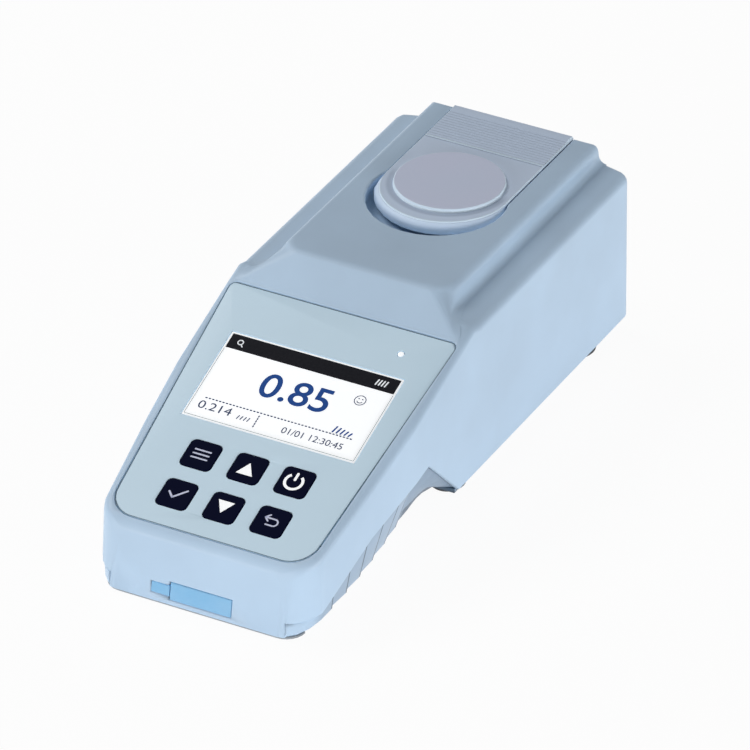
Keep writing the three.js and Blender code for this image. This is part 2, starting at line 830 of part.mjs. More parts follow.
// Upper casing
function upperCasing() {
  const body = solid(skinThrough(casingStations().map(casingRing)));
  const deckCavity = cut(
    solid(
      boxBetween(
        [-(deckHalfWidth - deckHollowInset), alongY(deckFront - deckHollowInset), 0],
        [
          deckHalfWidth - deckHollowInset,
          alongY(pivotDistance + knuckleRoom + wall),
          deckHeight - deckHollowInset,
        ],
      ),
    ),
    solid(plate(lidOutline(gap + wall, -overrun), -overrun, deckHeight + overrun)).intersect(
      solid(
        boxBetween(
          [-deckHalfWidth, alongY(deckFront), channelFloor - wall],
          [deckHalfWidth, rearY, deckHeight],
        ),
      ),
    ),
    scoopSolid(deckHollowInset),
  );
  const hinge = solid(
    boxBetween(
      [-pinHalfLength - wall, alongY(pivotDistance + knuckleRoom + wall), pivotHeight],
      [pinHalfLength + wall, alongY(wall / 2), pivotHeight + wall],
    ),
  );
  const hingeBlock = join(
    hinge,
    hingeDrum(knuckleRoom + wall, pinHalfLength + wall).intersect(
      solid(
        boxBetween(
          [-caseHalfWidth, alongY(pivotDistance + knuckleRoom + wall), 0],
          [caseHalfWidth, alongY(wall / 2), pivotHeight],
        ),
      ),
    ),
  );
  const shell = join(
    cut(join(body, deckSolid()), casingHollow(), deckCavity),
    hingeBlock,
  );
  const bosses = casingScrewPlaces.map(([x, distance]) => {
    const rear = distance === rearBossDistance;
    const roof = rear ? channelFloor - wall / 2 : panelHeightAt(distance) - floorThickness;
    const low = rear ? rearSkirtHeight : frontFootHeight + gripFloorThickness + gap;
    return solid(post(bossRadius, low, roof, x, alongY(distance), smallSides));
  });
  const boardBosses = boardScrewPlaces.map(([x, y]) =>
    onPanel(post(boardBossRadius, boardTop + gap, recessFloor - floorThickness / 2, x, y, smallSides)),
  );
  const casingBores = casingScrewPlaces.map(([x, distance]) =>
    solid(
      post(
        casingScrewRadius + gap,
        -overrun,
        frontFootHeight + gripFloorThickness + casingScrewLength,
        x,
        alongY(distance),
        smallSides,
      ),
    ),
  );
  const boardBores = boardScrewPlaces.map(([x, y]) =>
    onPanel(
      post(
        boardScrewRadius + gap,
        boardBottom - overrun,
        boardBottom + boardScrewLength + gap,
        x,
        y,
        smallSides,
      ),
    ),
  );
  const channel = solid(
    skinThrough(
      [
        [gap, channelFloor],
        [gap, deckHeight - edgeBreak],
        [gap + edgeBreak, deckHeight],
        [gap + edgeBreak, deckHeight + overrun],
      ].map(([margin, z]) => lidOutline(margin, -overrun).map(([x, y]) => [x, y, z])),
      [0, 1],
    ),
  );
  const wellHole = solid(
    post(
      wellBoreRadius + wellWall + gap,
      channelFloor - wall - overrun,
      deckHeight,
      0,
      alongY(lidRoundCentre),
    ),
  );
  const recess = onPanel(
    skinThrough(
      [
        [gap, recessFloor],
        [gap, rimProud - edgeBreak],
        [gap + edgeBreak, rimProud],
        [gap + edgeBreak, overrun],
      ].map(([margin, z]) => panelOutline(margin).map(([x, y]) => [x, y, z])),
      [0, 1],
    ),
  );
  const screenOpening = onPanel(
    boxBetween(
      [-screenHalfWidth - gap, screenMiddle - screenHalfHeight - gap, floorUnderside - overrun],
      [screenHalfWidth + gap, screenMiddle + screenHalfHeight + gap, overrun],
    ),
  );
  const lampHole = onPanel(
    post(lampRadius + gap, floorUnderside - overrun, overrun, lampAcross, -lampDistance, smallSides),
  );
  const flapRecess = frontBlock(
    flapLeft - gap,
    flapRight + gap,
    flapBottom - gap,
    flapTop + gap,
    -overrun,
    flapThickness + gap,
  );
  const anchorRecess = frontBlock(
    anchorLeft - gap,
    flapLeft + gap,
    anchorBottom - gap,
    anchorTop + gap,
    -overrun,
    anchorThickness + gap,
  );
  const pocket = frontBlock(
    flapLeft + portPocketInset,
    flapRight - portPocketInset,
    flapBottom + portPocketSide,
    flapTop - portPocketSide,
    0,
    pocketInner,
  );
  const pinBore = hingeDrum(pinRadius + pinBoreClearance, pinHalfLength + gap, smallSides);
  const parting = solid(acrossX(partingOutline(-overrun), -caseLength, caseLength));
  const belowFoot = solid(
    boxBetween(
      [-caseLength, -caseLength, -overrun],
      [caseLength, caseLength, frontFootHeight],
    ),
  );
  return cut(
    join(shell, ...bosses, ...boardBosses, ...chargeLedges()),
    parting,
    ...cornerParting(0),
    belowFoot,
    channel,
    scoopSolid(0),
    hingeDrum(knuckleRoom, lidHalfWidth + gap),
    wellHole,
    recess,
    screenOpening,
    lampHole,
    flapRecess,
    anchorRecess,
    pocket,
    pinBore,
    ...keyPlaces.map(keyOpening),
    ...casingBores,
    ...boardBores,
  );
}

// Lower casing
// Half-width of the grip's sole, at a distance from the rear face
function soleHalfWidthAt(distance) {
  if (distance <= gripWideDistance) {
    const share = (distance - gripEnd) / (gripWideDistance - gripEnd);
    return waistHalfWidth + (gripWideHalfWidth - waistHalfWidth) * Math.sin((share * Math.PI) / 2);
  }
  return gripWideHalfWidth;
}

// Depth of the saw-tooth ribs, at a distance from the rear face
function ribInsetAt(distance) {
  const along = (distance - ribStart) / ribPitch;
  if (along < 0 || along > ribCount) {
    return 0;
  }
  return ribDepth * (along - Math.floor(along));
}

// Height of the parting line at a distance from the rear face
function partingHeightAt(distance) {
  const y = alongY(distance);
  const next = partingLine.findIndex(([place]) => place <= y);
  if (next < 0) {
    return gripFrontHeight;
  }
  const [startY, startZ] = partingLine[next - 1];
  const [endY, endZ] = partingLine[next];
  return startZ + ((endZ - startZ) * (startY - y)) / (startY - endY);
}

function gripStations() {
  const notchRun = (notchTopDistance - notchLowDistance) / notchSteps;
  const notch = Array.from({ length: notchSteps + 1 }, (_, step) => notchLowDistance + step * notchRun);
  const marks = [gripEnd, ...notch, taperStart, taperMiddle, gripSwellDistance];
  const ribs = Array.from({ length: ribCount + 1 }, (_, rib) => ribStart + rib * ribPitch);
  const steps = ribs.flatMap((mark) => [mark, mark + ribStepRun]);
  const kept = [...marks, ...steps].filter((distance) => distance < cornerStart);
  const sorted = [...new Set(kept)].sort((a, b) => a - b);
  const straight = sorted.map((distance) => ({
    distance,
    narrow: 0,
    inset: ribs.includes(distance) && distance > ribStart ? ribDepth : ribInsetAt(distance),
    lean: 0,
  }));
  const corner = arc(0, 0, frontCornerRadius, 0, Math.PI / 2, filletSteps).map(
    ([across, forward]) => ({
      distance: cornerStart + forward,
      narrow: frontCornerRadius - across,
      inset: (-gripSideInset * (frontCornerRadius - across)) / frontCornerRadius,
      lean: (frontLean * forward) / frontCornerRadius,
    }),
  );
  return [...straight, ...corner];
}

function gripRing({ distance, narrow, inset, lean }, thickness, floor) {
  const seam = partingHeightAt(distance);
  const topWide = halfWidthAt(Math.min(distance, cornerStart)) - gripSideInset - narrow;
  const soleWide = Math.min(soleHalfWidthAt(distance), topWide + narrow) - narrow;
  const reach = seam - frontFootHeight;
  const slant = Math.hypot(topWide - soleWide, reach) / reach;
  const inwards = inset + thickness * slant;
  const along = (z) => (soleWide - inwards) + ((topWide - soleWide) * (z - frontFootHeight)) / reach;
  const high = thickness > 0 ? seam + overrun : seam;
  const base = floor + soleEdgeRadius;
  const fade = (gripHollowEnd - distance) / (gripHollowEnd - notchLowDistance);
  const hollow = gripHollow * Math.min(1, Math.max(0, fade));
  const middle = (base + high) / 2;
  const share = (middle - frontFootHeight) / reach;
  const bow = hollow * Math.max(0, 4 * share * (1 - share));
  const right = [
    [along(base) - soleEdgeRadius, floor],
    [along(base), base],
    [along(middle) - bow, middle],
    [along(high), high],
  ];
  const left = right.map(([x, z]) => [-x, z]).reverse();
  return [...right, ...left].map(([x, z]) => [x, alongY(distance) - lean * leanShareAt(z), z]);
}

function lowerCasing() {
  const stations = gripStations();
  const outer = solid(skinThrough(stations.map((station) => gripRing(station, 0, frontFootHeight))));
  const smooth = stations.filter(({ distance }) => distance > gripEnd + lowerWall);
  const bay = frontFootHeight + gripFloorThickness;
  const innerRings = smooth
    .filter(({ distance }) => distance < frontSeamDistance - lowerWall)
    .map((station) => gripRing({ ...station, inset: ribDepth, lean: 0 }, lowerWall, bay));
  const inner = solid(skinThrough(innerRings));
  const plateHalf = caseHalfWidth + sideDraft - rearPlateInset;
  const plateTop = rearSkirtHeight - gap;
  const rearPlate = solid(
    boxBetween(
      [-plateHalf, alongY(notchLowDistance - gap), rearPlateBottom],
      [plateHalf, alongY(rearPlateInset), plateTop],
    ),
  );
  const lipHalf = caseHalfWidth - wall - gap;
  const lip = cut(
    solid(
      boxBetween(
        [-lipHalf, alongY(notchLowDistance - 2 * lipHeight), rearPlateBottom],
        [lipHalf, alongY(wall + gap), plateTop + lipHeight],
      ),
    ),
    solid(
      boxBetween(
        [-lipHalf + lipThickness, alongY(caseLength), plateTop],
        [lipHalf - lipThickness, alongY(wall + gap + lipThickness), shoulderHeight],
      ),
    ),
  );
  const belowRear = solid(
    boxBetween(
      [-caseLength, alongY(gripEnd + rearPlateBottom), -overrun],
      [caseLength, rearY + overrun, rearPlateBottom],
    ),
  );
  const seam = join(
    solid(acrossX(grown(partingOutline(-overrun), -gap), -caseLength, caseLength)),
    ...cornerParting(-gap),
  );
  const portRoom = solid(
    boxBetween(
      [portMiddleAcross - portHalfWidth - gap, -caseLength, portMiddleHeight - portHeight / 2 - gap],
      [portMiddleAcross + portHalfWidth + gap, chargeBoardFront + portDepth, shoulderHeight],
    ),
  );
  const openTop = solid(
    boxBetween(
      [-waistHalfWidth + lowerWall, alongY(notchLowDistance + lipHeight), bay],
      [waistHalfWidth - lowerWall, alongY(gripEnd), plateTop + overrun],
    ),
  );
  const bayHalfWidth = batteryHalfWidth + bayClearance;
  const bayHalfLength = batteryLength / 2 + bayClearance;
  const bayCut = solid(
    boxBetween(
      [-bayHalfWidth, alongY(batteryMiddle + bayHalfLength), -overrun],
      [bayHalfWidth, alongY(batteryMiddle - bayHalfLength), bay + overrun],
    ),
  );
  const doorRecess = solid(doorPlate(gap, -overrun, frontFootHeight + doorThickness + gap));
  const doorBosses = doorScrewPlaces.map(([x, y]) =>
    solid(post(doorBossRadius, bay - gap, bay + doorBossHeight, x, y, smallSides)),
  );
  const doorBoreTop = frontFootHeight + doorScrewLength + 2 * gap;
  const doorBores = doorScrewPlaces.map(([x, y]) =>
    solid(post(doorScrewRadius + gap, -overrun, doorBoreTop, x, y, smallSides)),
  );
  const screwBores = casingScrewPlaces.flatMap(([x, distance]) => {
    const low = distance === rearBossDistance ? rearPlateBottom : frontFootHeight;
    const seat = low + casingScrewHeadHeight + gap;
    const y = alongY(distance);
    return [
      solid(post(casingScrewRadius + gap, -overrun, bay + overrun, x, y, smallSides)),
      solid(post(casingScrewHeadRadius + gap, -overrun, seat, x, y, smallSides)),
    ];
  });
  const shell = join(cut(join(outer, rearPlate), inner), lip);
  return cut(
    join(cut(shell, openTop).intersect(seam), ...doorBosses),
    portRoom,
    belowRear,
    bayCut,
    doorRecess,
    ...doorBores,
    ...screwBores,
  );
}

// Battery door, seen from above, with a margin round it
const doorRear = batteryMiddle - batteryLength / 2 - bayClearance - doorRearLap;
const doorFront = batteryMiddle + batteryLength / 2 + bayClearance + doorFrontLap;
const doorScrewPlaces = [-1, 1].map((side) => [
  side * doorScrewAcross,
  alongY(doorFront - doorScrewEdge),
]);
function doorPlate(margin, low, high) {
  const halfLength = (doorFront - doorRear) / 2 + margin;
  const outline = roundedRectangle(doorHalfWidth + margin, halfLength, doorCornerRadius + margin);
  return moved(plate(outline, low, high), 0, alongY((doorFront + doorRear) / 2), 0);
}

function batteryDoor() {
  const body = solid(doorPlate(0, frontFootHeight, frontFootHeight + doorThickness));
  const holes = doorScrewPlaces.flatMap(([x, y]) => [
    solid(post(doorScrewRadius + gap, -overrun, overrun, x, y, smallSides)),
    solid(
      post(
        doorScrewHeadRadius + gap,
        -overrun,
        frontFootHeight + doorScrewHeadHeight + gap,
        x,
        y,
        smallSides,
      ),
    ),
  ]);
  return cut(body, ...holes);
}

// A screw with its head down: head and shank, from a seat height
function screw(headRadius, headHeight, radius, length) {
  return turned(
    [
      [0, 0],
      [headRadius, 0],
      [headRadius, headHeight],
      [radius, headHeight],
      [radius, length],
      [0, length],
    ],
    smallSides,
  );
}

// Lid: a body with a lip at its round front end, a proud plate on it, a raised disc, a ribbed
// pad at the rear and a round knuckle
function lidSolid() {
  const lip = arc(0, 0, 1, 0, Math.PI / 2, filletSteps).map(([reach, rise]) => [
    0,
    lipReach * reach,
    deckHeight - lipDrop * (1 - rise),
  ]);
  const rings = [
    [0, lipReach - lipTuck, deckHeight - lidThickness],
    [0, lipReach, deckHeight - lidThickness + lipRise],
    ...lip,
    [-lidPlateInset, 0, deckHeight],
    [-lidPlateInset, 0, lidTop - lidPlateEdge],
    [-lidPlateInset - lidPlateEdge, 0, lidTop],
  ].map(([margin, reach, z]) => lidOutline(margin, -margin, reach).map(([x, y]) => [x, y, z]));
  const body = solid(skinThrough(rings, [0, 1]));
  const knuckle = hingeDrum(pivotDrop, lidHalfWidth);
  const ribRun = (lidRibZone - lidRibStart) / lidRibCount;
  const grooves = Array.from({ length: lidRibCount }, (_, rib) => {
    const start = lidRibStart + rib * ribRun;
    const valley = padTop - lidRibDepth;
    return [
      [alongY(start), padTop],
      [alongY(start + ribRun * lidRibFlankShare), valley],
      [alongY(start + ribRun * (1 - lidRibFlankShare)), valley],
    ];
  }).flat();
  const padHalfWidth = lidHalfWidth - lidPlateInset - lidPlateEdge;
  const padRear = lidPlateInset;
  const pad = solid(
    acrossX(
      [
        [alongY(padRear), deckHeight],
        [alongY(padRear), padTop - lidPlateEdge],
        [alongY(padRear + lidPlateEdge), padTop],
        ...grooves,
        [alongY(lidRibZone), padTop],
        [alongY(lidRibZone), deckHeight],
      ],
      -padHalfWidth,
      padHalfWidth,
    ),
  );
  const disc = solid(
    moved(
      turned([
        [0, deckHeight],
        [discRadius, deckHeight],
        [discRadius, lidTop + discHeight - discEdgeRadius],
        ...arc(
          discRadius - discEdgeRadius,
          lidTop + discHeight - discEdgeRadius,
          discEdgeRadius,
          0,
          Math.PI / 2,
          filletSteps - 1,
        ).slice(1),
        [0, lidTop + discHeight],
      ]),
      0,
      alongY(lidRoundCentre),
      0,
    ),
  );
  const pinBore = hingeDrum(pinRadius + pinBoreClearance, caseHalfWidth, smallSides);
  return cut(join(body, knuckle, pad, disc), pinBore);
}

// Pieces round the sample well, all on one upright axis
const wellAxis = alongY(lidRoundCentre);
const wellFlangeBottom = channelFloor + gap;
const wellFlangeTop = wellFlangeBottom + wellFlangeThickness;
const wellOuterRadius = wellBoreRadius + wellWall;
const wellBoreBottom = wellBottom + wellBaseThickness;

function sampleWell() {
  const cup = solid(
    moved(
      turned([
        [0, wellBottom],
        [wellOuterRadius, wellBottom],
        [wellOuterRadius, wellFlangeBottom],
        [wellFlangeRadius, wellFlangeBottom],
        [wellFlangeRadius, wellFlangeTop],
        [wellBoreRadius, wellFlangeTop],
        [wellBoreRadius, wellBoreBottom],
        [0, wellBoreBottom],
      ]),
      0,
      wellAxis,
      0,
    ),
  );
  const beam = new THREE.CylinderGeometry(beamRadius, beamRadius, caseHalfWidth, smallSides);
  const beamHole = solid(beam.rotateZ(Math.PI / 2).translate(0, wellAxis, beamHeight));
  return cut(cup, beamHole);
}

// Turned pieces along the light beam, from one distance to another on one side of the well
function onBeam(radius, near, far, side, sides = smallSides) {
  const geometry = new THREE.CylinderGeometry(radius, radius, far - near, sides);
  return geometry.rotateZ(Math.PI / 2).translate((side * (near + far)) / 2, wellAxis, beamHeight);
}

const opticSeat = wellOuterRadius + gap;

function lightSource() {
  const stem = solid(onBeam(opticStemRadius, wellOuterRadius - wellWall / 2, opticSeat + gap, -1));
  return join(solid(onBeam(opticBodyRadius, opticSeat, opticSeat + opticBodyLength, -1)), stem);
}

const filterNear = wellOuterRadius + gap;
const detectorNear = filterNear + filterThickness + gap;
const boardNear = {
  source: opticSeat + opticBodyLength + gap,
  detector: detectorNear + opticBodyLength + gap,
};

function opticBoard(near, side) {
  const half = opticBoardSize / 2;
  const places = [side * near, side * (near + opticBoardThickness)];
  return boxBetween(
    [Math.min(...places), wellAxis - half, beamHeight - half],
    [Math.max(...places), wellAxis + half, beamHeight + half],
  );
}

// Flat cable from the detector's board up to the main board's top edge
function signalCable() {
  const start = [boardNear.detector + opticBoardThickness + gap, wellAxis, beamHeight];
  const boardEdge = new THREE.Vector3(0, -cableBoardDistance, boardBottom - gap - cableThickness);
  boardEdge.applyMatrix4(panelGroup.matrixWorld);
  const thickness = cableThickness;
  const outline = [
    [wellAxis, beamHeight - thickness / 2],
    [boardEdge.y, boardEdge.z - thickness],
    [boardEdge.y, boardEdge.z],
    [wellAxis, beamHeight + thickness / 2],
  ];
  return acrossX(outline.reverse(), start[0], start[0] + 2 * cableHalfWidth);
}

// Display, keys and boards, in the panel frame
function overlay() {
  const body = solid(plate(panelOutline(0), overlayBottom, 0));
  const opening = solid(
    boxBetween(
      [-screenHalfWidth - gap, screenMiddle - screenHalfHeight - gap, -overrun],
      [screenHalfWidth + gap, screenMiddle + screenHalfHeight + gap, overrun],
    ),
  );
  const keyHole = roundedRectangle(keyHalf + gap, keyHalf + gap, keyCornerRadius + gap);
  const keyHoles = keyPlaces.map(([x, y]) =>
    solid(moved(plate(keyHole, -overrun, overrun), x, y, 0)),
  );
  const lamp = solid(
    post(lampRadius + gap, -overrun, overrun, lampAcross, -lampDistance, smallSides),
  );
  return cut(body, opening, ...keyHoles, lamp);
}

function keyCap() {
  const cap = solid(plate(roundedRectangle(keyHalf, keyHalf, keyCornerRadius), keyFlangeBottom, keyProud));
  const half = keyHalf + keyFlangeExtra;
  const flange = solid(plate(roundedRectangle(half, half, keyCornerRadius), keyFlangeBottom, keyFlangeTop));
  const stem = solid(post(keyStemRadius, keyStemBottom, keyFlangeTop, 0, 0, smallSides));
  return join(cap, flange, stem);
}

function keySwitch() {
  const half = switchSize / 2;
  const body = solid(boxBetween([-half, -half, switchTop - switchHeight], [half, half, switchTop]));
  return body.add(solid(post(plungerRadius, switchTop - switchHeight / 2, plungerTop, 0, 0, smallSides)));
}

function mainBoard() {
  const outline = [
    [-boardWideHalfWidth, -boardTopDistance],
    [-boardWideHalfWidth, -boardStepDistance],
    [-boardNarrowHalfWidth, -boardStepDistance],
    [-boardNarrowHalfWidth, -boardEndDistance],
    [boardNarrowHalfWidth, -boardEndDistance],
    [boardNarrowHalfWidth, -boardStepDistance],
    [boardWideHalfWidth, -boardStepDistance],
    [boardWideHalfWidth, -boardTopDistance],
  ];
  const body = solid(plate(outline, boardBottom, boardTop));
  const holes = boardScrewPlaces.map(([x, y]) =>
    solid(post(boardScrewRadius + gap, boardBottom - overrun, boardTop + overrun, x, y, smallSides)),
  );
  return cut(body, ...holes);
}

// Rubber cover of the charging port: a flap and the tab that anchors it
const coverFlap = () =>
  cut(
    frontBlock(flapLeft + gap, flapRight, flapBottom, flapTop, 0, flapThickness),
    frontBlock(flapLeft, flapLeft + 2 * gap, flapBottom, flapTop, flapThickness - gap, overrun),
  );
const coverAnchor = () =>
  frontBlock(anchorLeft, flapLeft, anchorBottom, anchorTop, gap / 2, anchorThickness);

// Charging port: a metal shell open to the front, with a tongue in it
function chargingPort() {
  const front = frontFaceY(portMiddleHeight) + pocketInner + gap;
  const halfHeight = portHeight / 2;
  const low = portMiddleHeight - halfHeight;
  const high = portMiddleHeight + halfHeight;
  const shell = boxBetween(
    [portMiddleAcross - portHalfWidth, front, low],
    [portMiddleAcross + portHalfWidth, front + portDepth, high],
  );
  const mouth = boxBetween(
    [portMiddleAcross - portHalfWidth + portShell, front - overrun, low + portShell],
    [portMiddleAcross + portHalfWidth - portShell, front + portDepth - 2 * portShell, high - portShell],
  );
  const tongue = boxBetween(
    [
      portMiddleAcross - portHalfWidth + portSideMargin + portShell,
      front + 2 * portShell,
      portMiddleHeight - portTongueHeight / 2,
    ],
    [
      portMiddleAcross + portHalfWidth - portSideMargin - portShell,
      front + portDepth - portShell,
      portMiddleHeight + portTongueHeight / 2,
    ],
  );
  return join(cut(solid(shell), solid(mouth)), solid(tongue));
}

function chargingBoard() {
  const rear = chargeBoardFront + chargeBoardLength;
  return boxBetween(
    [portMiddleAcross - chargeBoardHalfWidth, chargeBoardFront, chargeBoardLow],
    [portMiddleAcross + chargeBoardHalfWidth, rear, chargeBoardLow + chargeBoardThickness],
  );
}

// Feet
function roundFoot(radius) {
  const top = rearPlateBottom - gap;
  return turned([
    [0, 0],
    [radius - footBevel, 0],
    [radius, footBevel],
    [radius, top],
    [0, top],
  ]);
}

function frontStrip() {
  const front = frontFaceY(0) + soleStripInset;
  const halfWidth = cornerStartHalfWidth - soleStripSide;
  const radius = soleStripWidth - soleStripInset;
  const outline = [
    ...arc(-halfWidth + radius, front + radius, radius, Math.PI, (3 * Math.PI) / 2, cornerSteps),
    ...arc(halfWidth - radius, front + radius, radius, -Math.PI / 2, 0, cornerSteps),
  ];
  return plate(outline, 0, frontFootHeight - gap);
}

// Battery pack and its lead
function batteryPack() {
  const low = frontFootHeight + doorThickness + gap;
  const outline = roundedRectangle(batteryHalfWidth, batteryLength / 2, batteryEdgeRadius);
  return moved(plate(outline, low, low + batteryHeight), 0, alongY(batteryMiddle), 0);
}

function batteryLead() {
  const low = frontFootHeight + doorThickness + gap + batteryHeight + gap;
  const rear = batteryMiddle - batteryLength / 2 + leadInset;
  const under = new THREE.Vector3(0, -(rear - panelStart) / Math.cos(panelTilt), boardBottom - gap);
  under.applyMatrix4(panelGroup.matrixWorld);
  const high = under.z - leadRadius * panelSlope;
  return post(leadRadius, low, high, leadAcross, under.y, smallSides / 2);
}

// Assembly
const meter = new THREE.Group();
meter.name = "chlorine_meter";
meter.add(panelGroup);

function addPiece(name, shape, finish, parent = meter, place = [0, 0, 0]) {
  const geometry = shape.isBufferGeometry ? shape : geometryOf(shape);
  const [color, roughness, metalness] = finishes[finish];
  const material = new THREE.MeshStandardMaterial({ color, roughness, metalness });
  const mesh = new THREE.Mesh(geometry, material);
  mesh.name = name;
  mesh.position.set(...place);
  parent.add(mesh);
}

addPiece("upper_casing", upperCasing(), "casing");
addPiece("lower_casing", lowerCasing(), "casingLow");

addPiece("front_overlay", overlay(), "overlay", panelGroup);
const screenLow = floorUnderside + gap;
addPiece(
  "display_screen",
  boxBetween(
    [-screenHalfWidth, screenMiddle - screenHalfHeight, screenLow],
    [screenHalfWidth, screenMiddle + screenHalfHeight, -screenSunk],
  ),
  "screen",
  panelGroup,
);
addPiece(
  "display_backlight",
  boxBetween(
    [
      -screenHalfWidth - backlightMargin,
      screenMiddle - screenHalfHeight - backlightMargin / 2,
      floorUnderside - gap - backlightThickness,
    ],
    [
      screenHalfWidth + backlightMargin,
      screenMiddle + screenHalfHeight + backlightMargin / 2,
      floorUnderside - gap,
    ],
  ),
  "blackPlastic",
  panelGroup,
);
const keyNames = ["menu", "up", "power", "confirm", "down", "back"];
keyNames.forEach((name, index) => {
  const [x, y] = keyPlaces[index];
  addPiece(`key_${name}`, keyCap(), "keyCap", panelGroup, [x, y, 0]);
  addPiece(`key_switch_${name}`, keySwitch(), "blackPlastic", panelGroup, [x, y, 0]);
});
addPiece("main_board", mainBoard(), "board", panelGroup);
addPiece(
  "status_light_pipe",
  post(lampRadius, boardTop + lampBodyHeight + 2 * gap, 0, lampAcross, -lampDistance, smallSides),
  "lamp",
  panelGroup,
);
addPiece(
  "status_led",
  post(
    lampBodyRadius,
    boardTop + gap,
    boardTop + gap + lampBodyHeight,
    lampAcross,
    -lampDistance,
    smallSides,
  ),
  "lamp",
  panelGroup,
);
addPiece(
  "buzzer",
  post(buzzerRadius, boardBottom - gap - buzzerHeight, boardBottom - gap, buzzerAcross, -buzzerDistance),
  "blackPlastic",
  panelGroup,
);
boardScrewPlaces.forEach(([x, y], index) => {
  const shape = screw(boardScrewHeadRadius, boardScrewHeadHeight, boardScrewRadius, boardScrewLength);
  const seat = boardBottom - gap - boardScrewHeadHeight;
  addPiece(`board_screw_${index + 1}`, shape, "steel", panelGroup, [x, y, seat]);
});

addPiece("lid", lidSolid(), "lid");
addPiece("hinge_pin", hingeDrum(pinRadius, pinHalfLength, smallSides), "steel");
const lidUnderside = deckHeight - lidThickness;
addPiece(
  "lid_seal",
  turned([
    [wellFlangeRadius - sealWidth, 0],
    [wellFlangeRadius, 0],
    [wellFlangeRadius, sealThickness],
    [wellFlangeRadius - sealWidth, sealThickness],
    [wellFlangeRadius - sealWidth, 0],
  ]),
  "rubberDark",
  meter,
  [0, wellAxis, lidUnderside - gap - sealThickness],
);
addPiece(
  "lid_light_shield",
  post(wellBoreRadius - shieldClearance, lidUnderside - gap - shieldDepth, lidUnderside - gap),
  "blackPlastic",
  meter,
  [0, wellAxis, 0],
);

addPiece("sample_well", sampleWell(), "blackPlastic");
addPiece("light_source", lightSource(), "lamp");
addPiece("light_source_board", opticBoard(boardNear.source, -1), "board");
addPiece("optical_filter", onBeam(filterRadius, filterNear, filterNear + filterThickness, 1), "glass");
addPiece("photodiode", onBeam(opticBodyRadius, detectorNear, detectorNear + opticBodyLength, 1), "steel");
addPiece("photodiode_board", opticBoard(boardNear.detector, 1), "board");
addPiece("signal_cable", signalCable(), "cable");

addPiece("battery_pack", batteryPack(), "batteryWrap");
addPiece("battery_lead", batteryLead(), "rubberDark");
addPiece("battery_door", batteryDoor(), "casingLow");
doorScrewPlaces.forEach(([x, y], index) => {
  const shape = screw(doorScrewHeadRadius, doorScrewHeadHeight, doorScrewRadius, doorScrewLength);
  addPiece(`battery_door_screw_${index + 1}`, shape, "steel", meter, [x, y, frontFootHeight]);
});

addPiece("port_cover", coverFlap(), "rubberBlue");
addPiece("port_cover_anchor", coverAnchor(), "rubberBlue");
addPiece("charging_port", chargingPort(), "steel");
addPiece("charging_board", chargingBoard(), "board");

["left", "right"].forEach((name, index) => {
  const side = 2 * index - 1;
  const rear = [side * footAcross, alongY(rearFootDistance), 0];
  const middle = [side * middleFootAcross, alongY(middleFootDistance), 0];
  addPiece(`rear_foot_${name}`, roundFoot(footRadius), "rubberDark", meter, rear);
  addPiece(`middle_foot_${name}`, roundFoot(middleFootRadius), "rubberDark", meter, middle);
});
addPiece("front_foot_strip", frontStrip(), "rubberSole");
casingScrewPlaces.forEach(([x, distance], index) => {
  const shape = screw(casingScrewHeadRadius, casingScrewHeadHeight, casingScrewRadius, casingScrewLength);
  const low = distance === rearBossDistance ? rearPlateBottom : frontFootHeight;
  addPiece(`casing_screw_${index + 1}`, shape, "steel", meter, [x, alongY(distance), low]);
});

export default meter;
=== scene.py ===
"""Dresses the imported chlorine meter: moulded edges, finishes, marks, light and camera."""

from __future__ import annotations

import logging
import math
from collections.abc import Iterable
from dataclasses import dataclass, field
from enum import Enum
from typing import Any

import bmesh
import bpy
from mathutils import Matrix, Vector
from mathutils.bvhtree import BVHTree

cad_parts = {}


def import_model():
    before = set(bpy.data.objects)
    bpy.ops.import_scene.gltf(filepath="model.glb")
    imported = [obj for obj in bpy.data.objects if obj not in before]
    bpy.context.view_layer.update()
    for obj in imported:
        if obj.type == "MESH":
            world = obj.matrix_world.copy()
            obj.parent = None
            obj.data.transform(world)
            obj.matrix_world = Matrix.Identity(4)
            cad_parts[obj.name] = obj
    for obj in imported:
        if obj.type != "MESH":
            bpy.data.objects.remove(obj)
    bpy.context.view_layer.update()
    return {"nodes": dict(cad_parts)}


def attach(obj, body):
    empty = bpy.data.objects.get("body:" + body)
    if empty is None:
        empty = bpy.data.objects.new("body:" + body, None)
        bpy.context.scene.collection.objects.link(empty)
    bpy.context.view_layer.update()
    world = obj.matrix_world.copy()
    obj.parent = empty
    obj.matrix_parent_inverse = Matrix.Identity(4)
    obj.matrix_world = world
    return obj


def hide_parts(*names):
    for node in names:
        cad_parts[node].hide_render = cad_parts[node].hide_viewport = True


LOG = logging.getLogger("meter")
MM = 0.001
PICTURE_SIDE = 750

Colour = tuple[float, float, float]
Point = tuple[float, float]
Outline = list[Point]
Material = bpy.types.Material
Piece = bpy.types.Object


def srgb(red: int, green: int, blue: int) -> Colour:
    """Turns a screen colour into the linear colour that a shader takes.

    Args:
        red: Red, 0 to 255.
        green: Green, 0 to 255.
        blue: Blue, 0 to 255.

    Returns:
        The linear colour.
    """

    def linear(value: int) -> float:
        """One channel, from the screen's curve to linear light."""
        share = value / 255
        return share / 12.92 if share <= 0.04045 else ((share + 0.055) / 1.055) ** 2.4

    return linear(red), linear(green), linear(blue)


def dimmed(colour: Colour, share: float) -> Colour:
    """A colour at a share of its brightness, and no brighter than white."""
    return tuple(min(1.0, value * share) for value in colour)


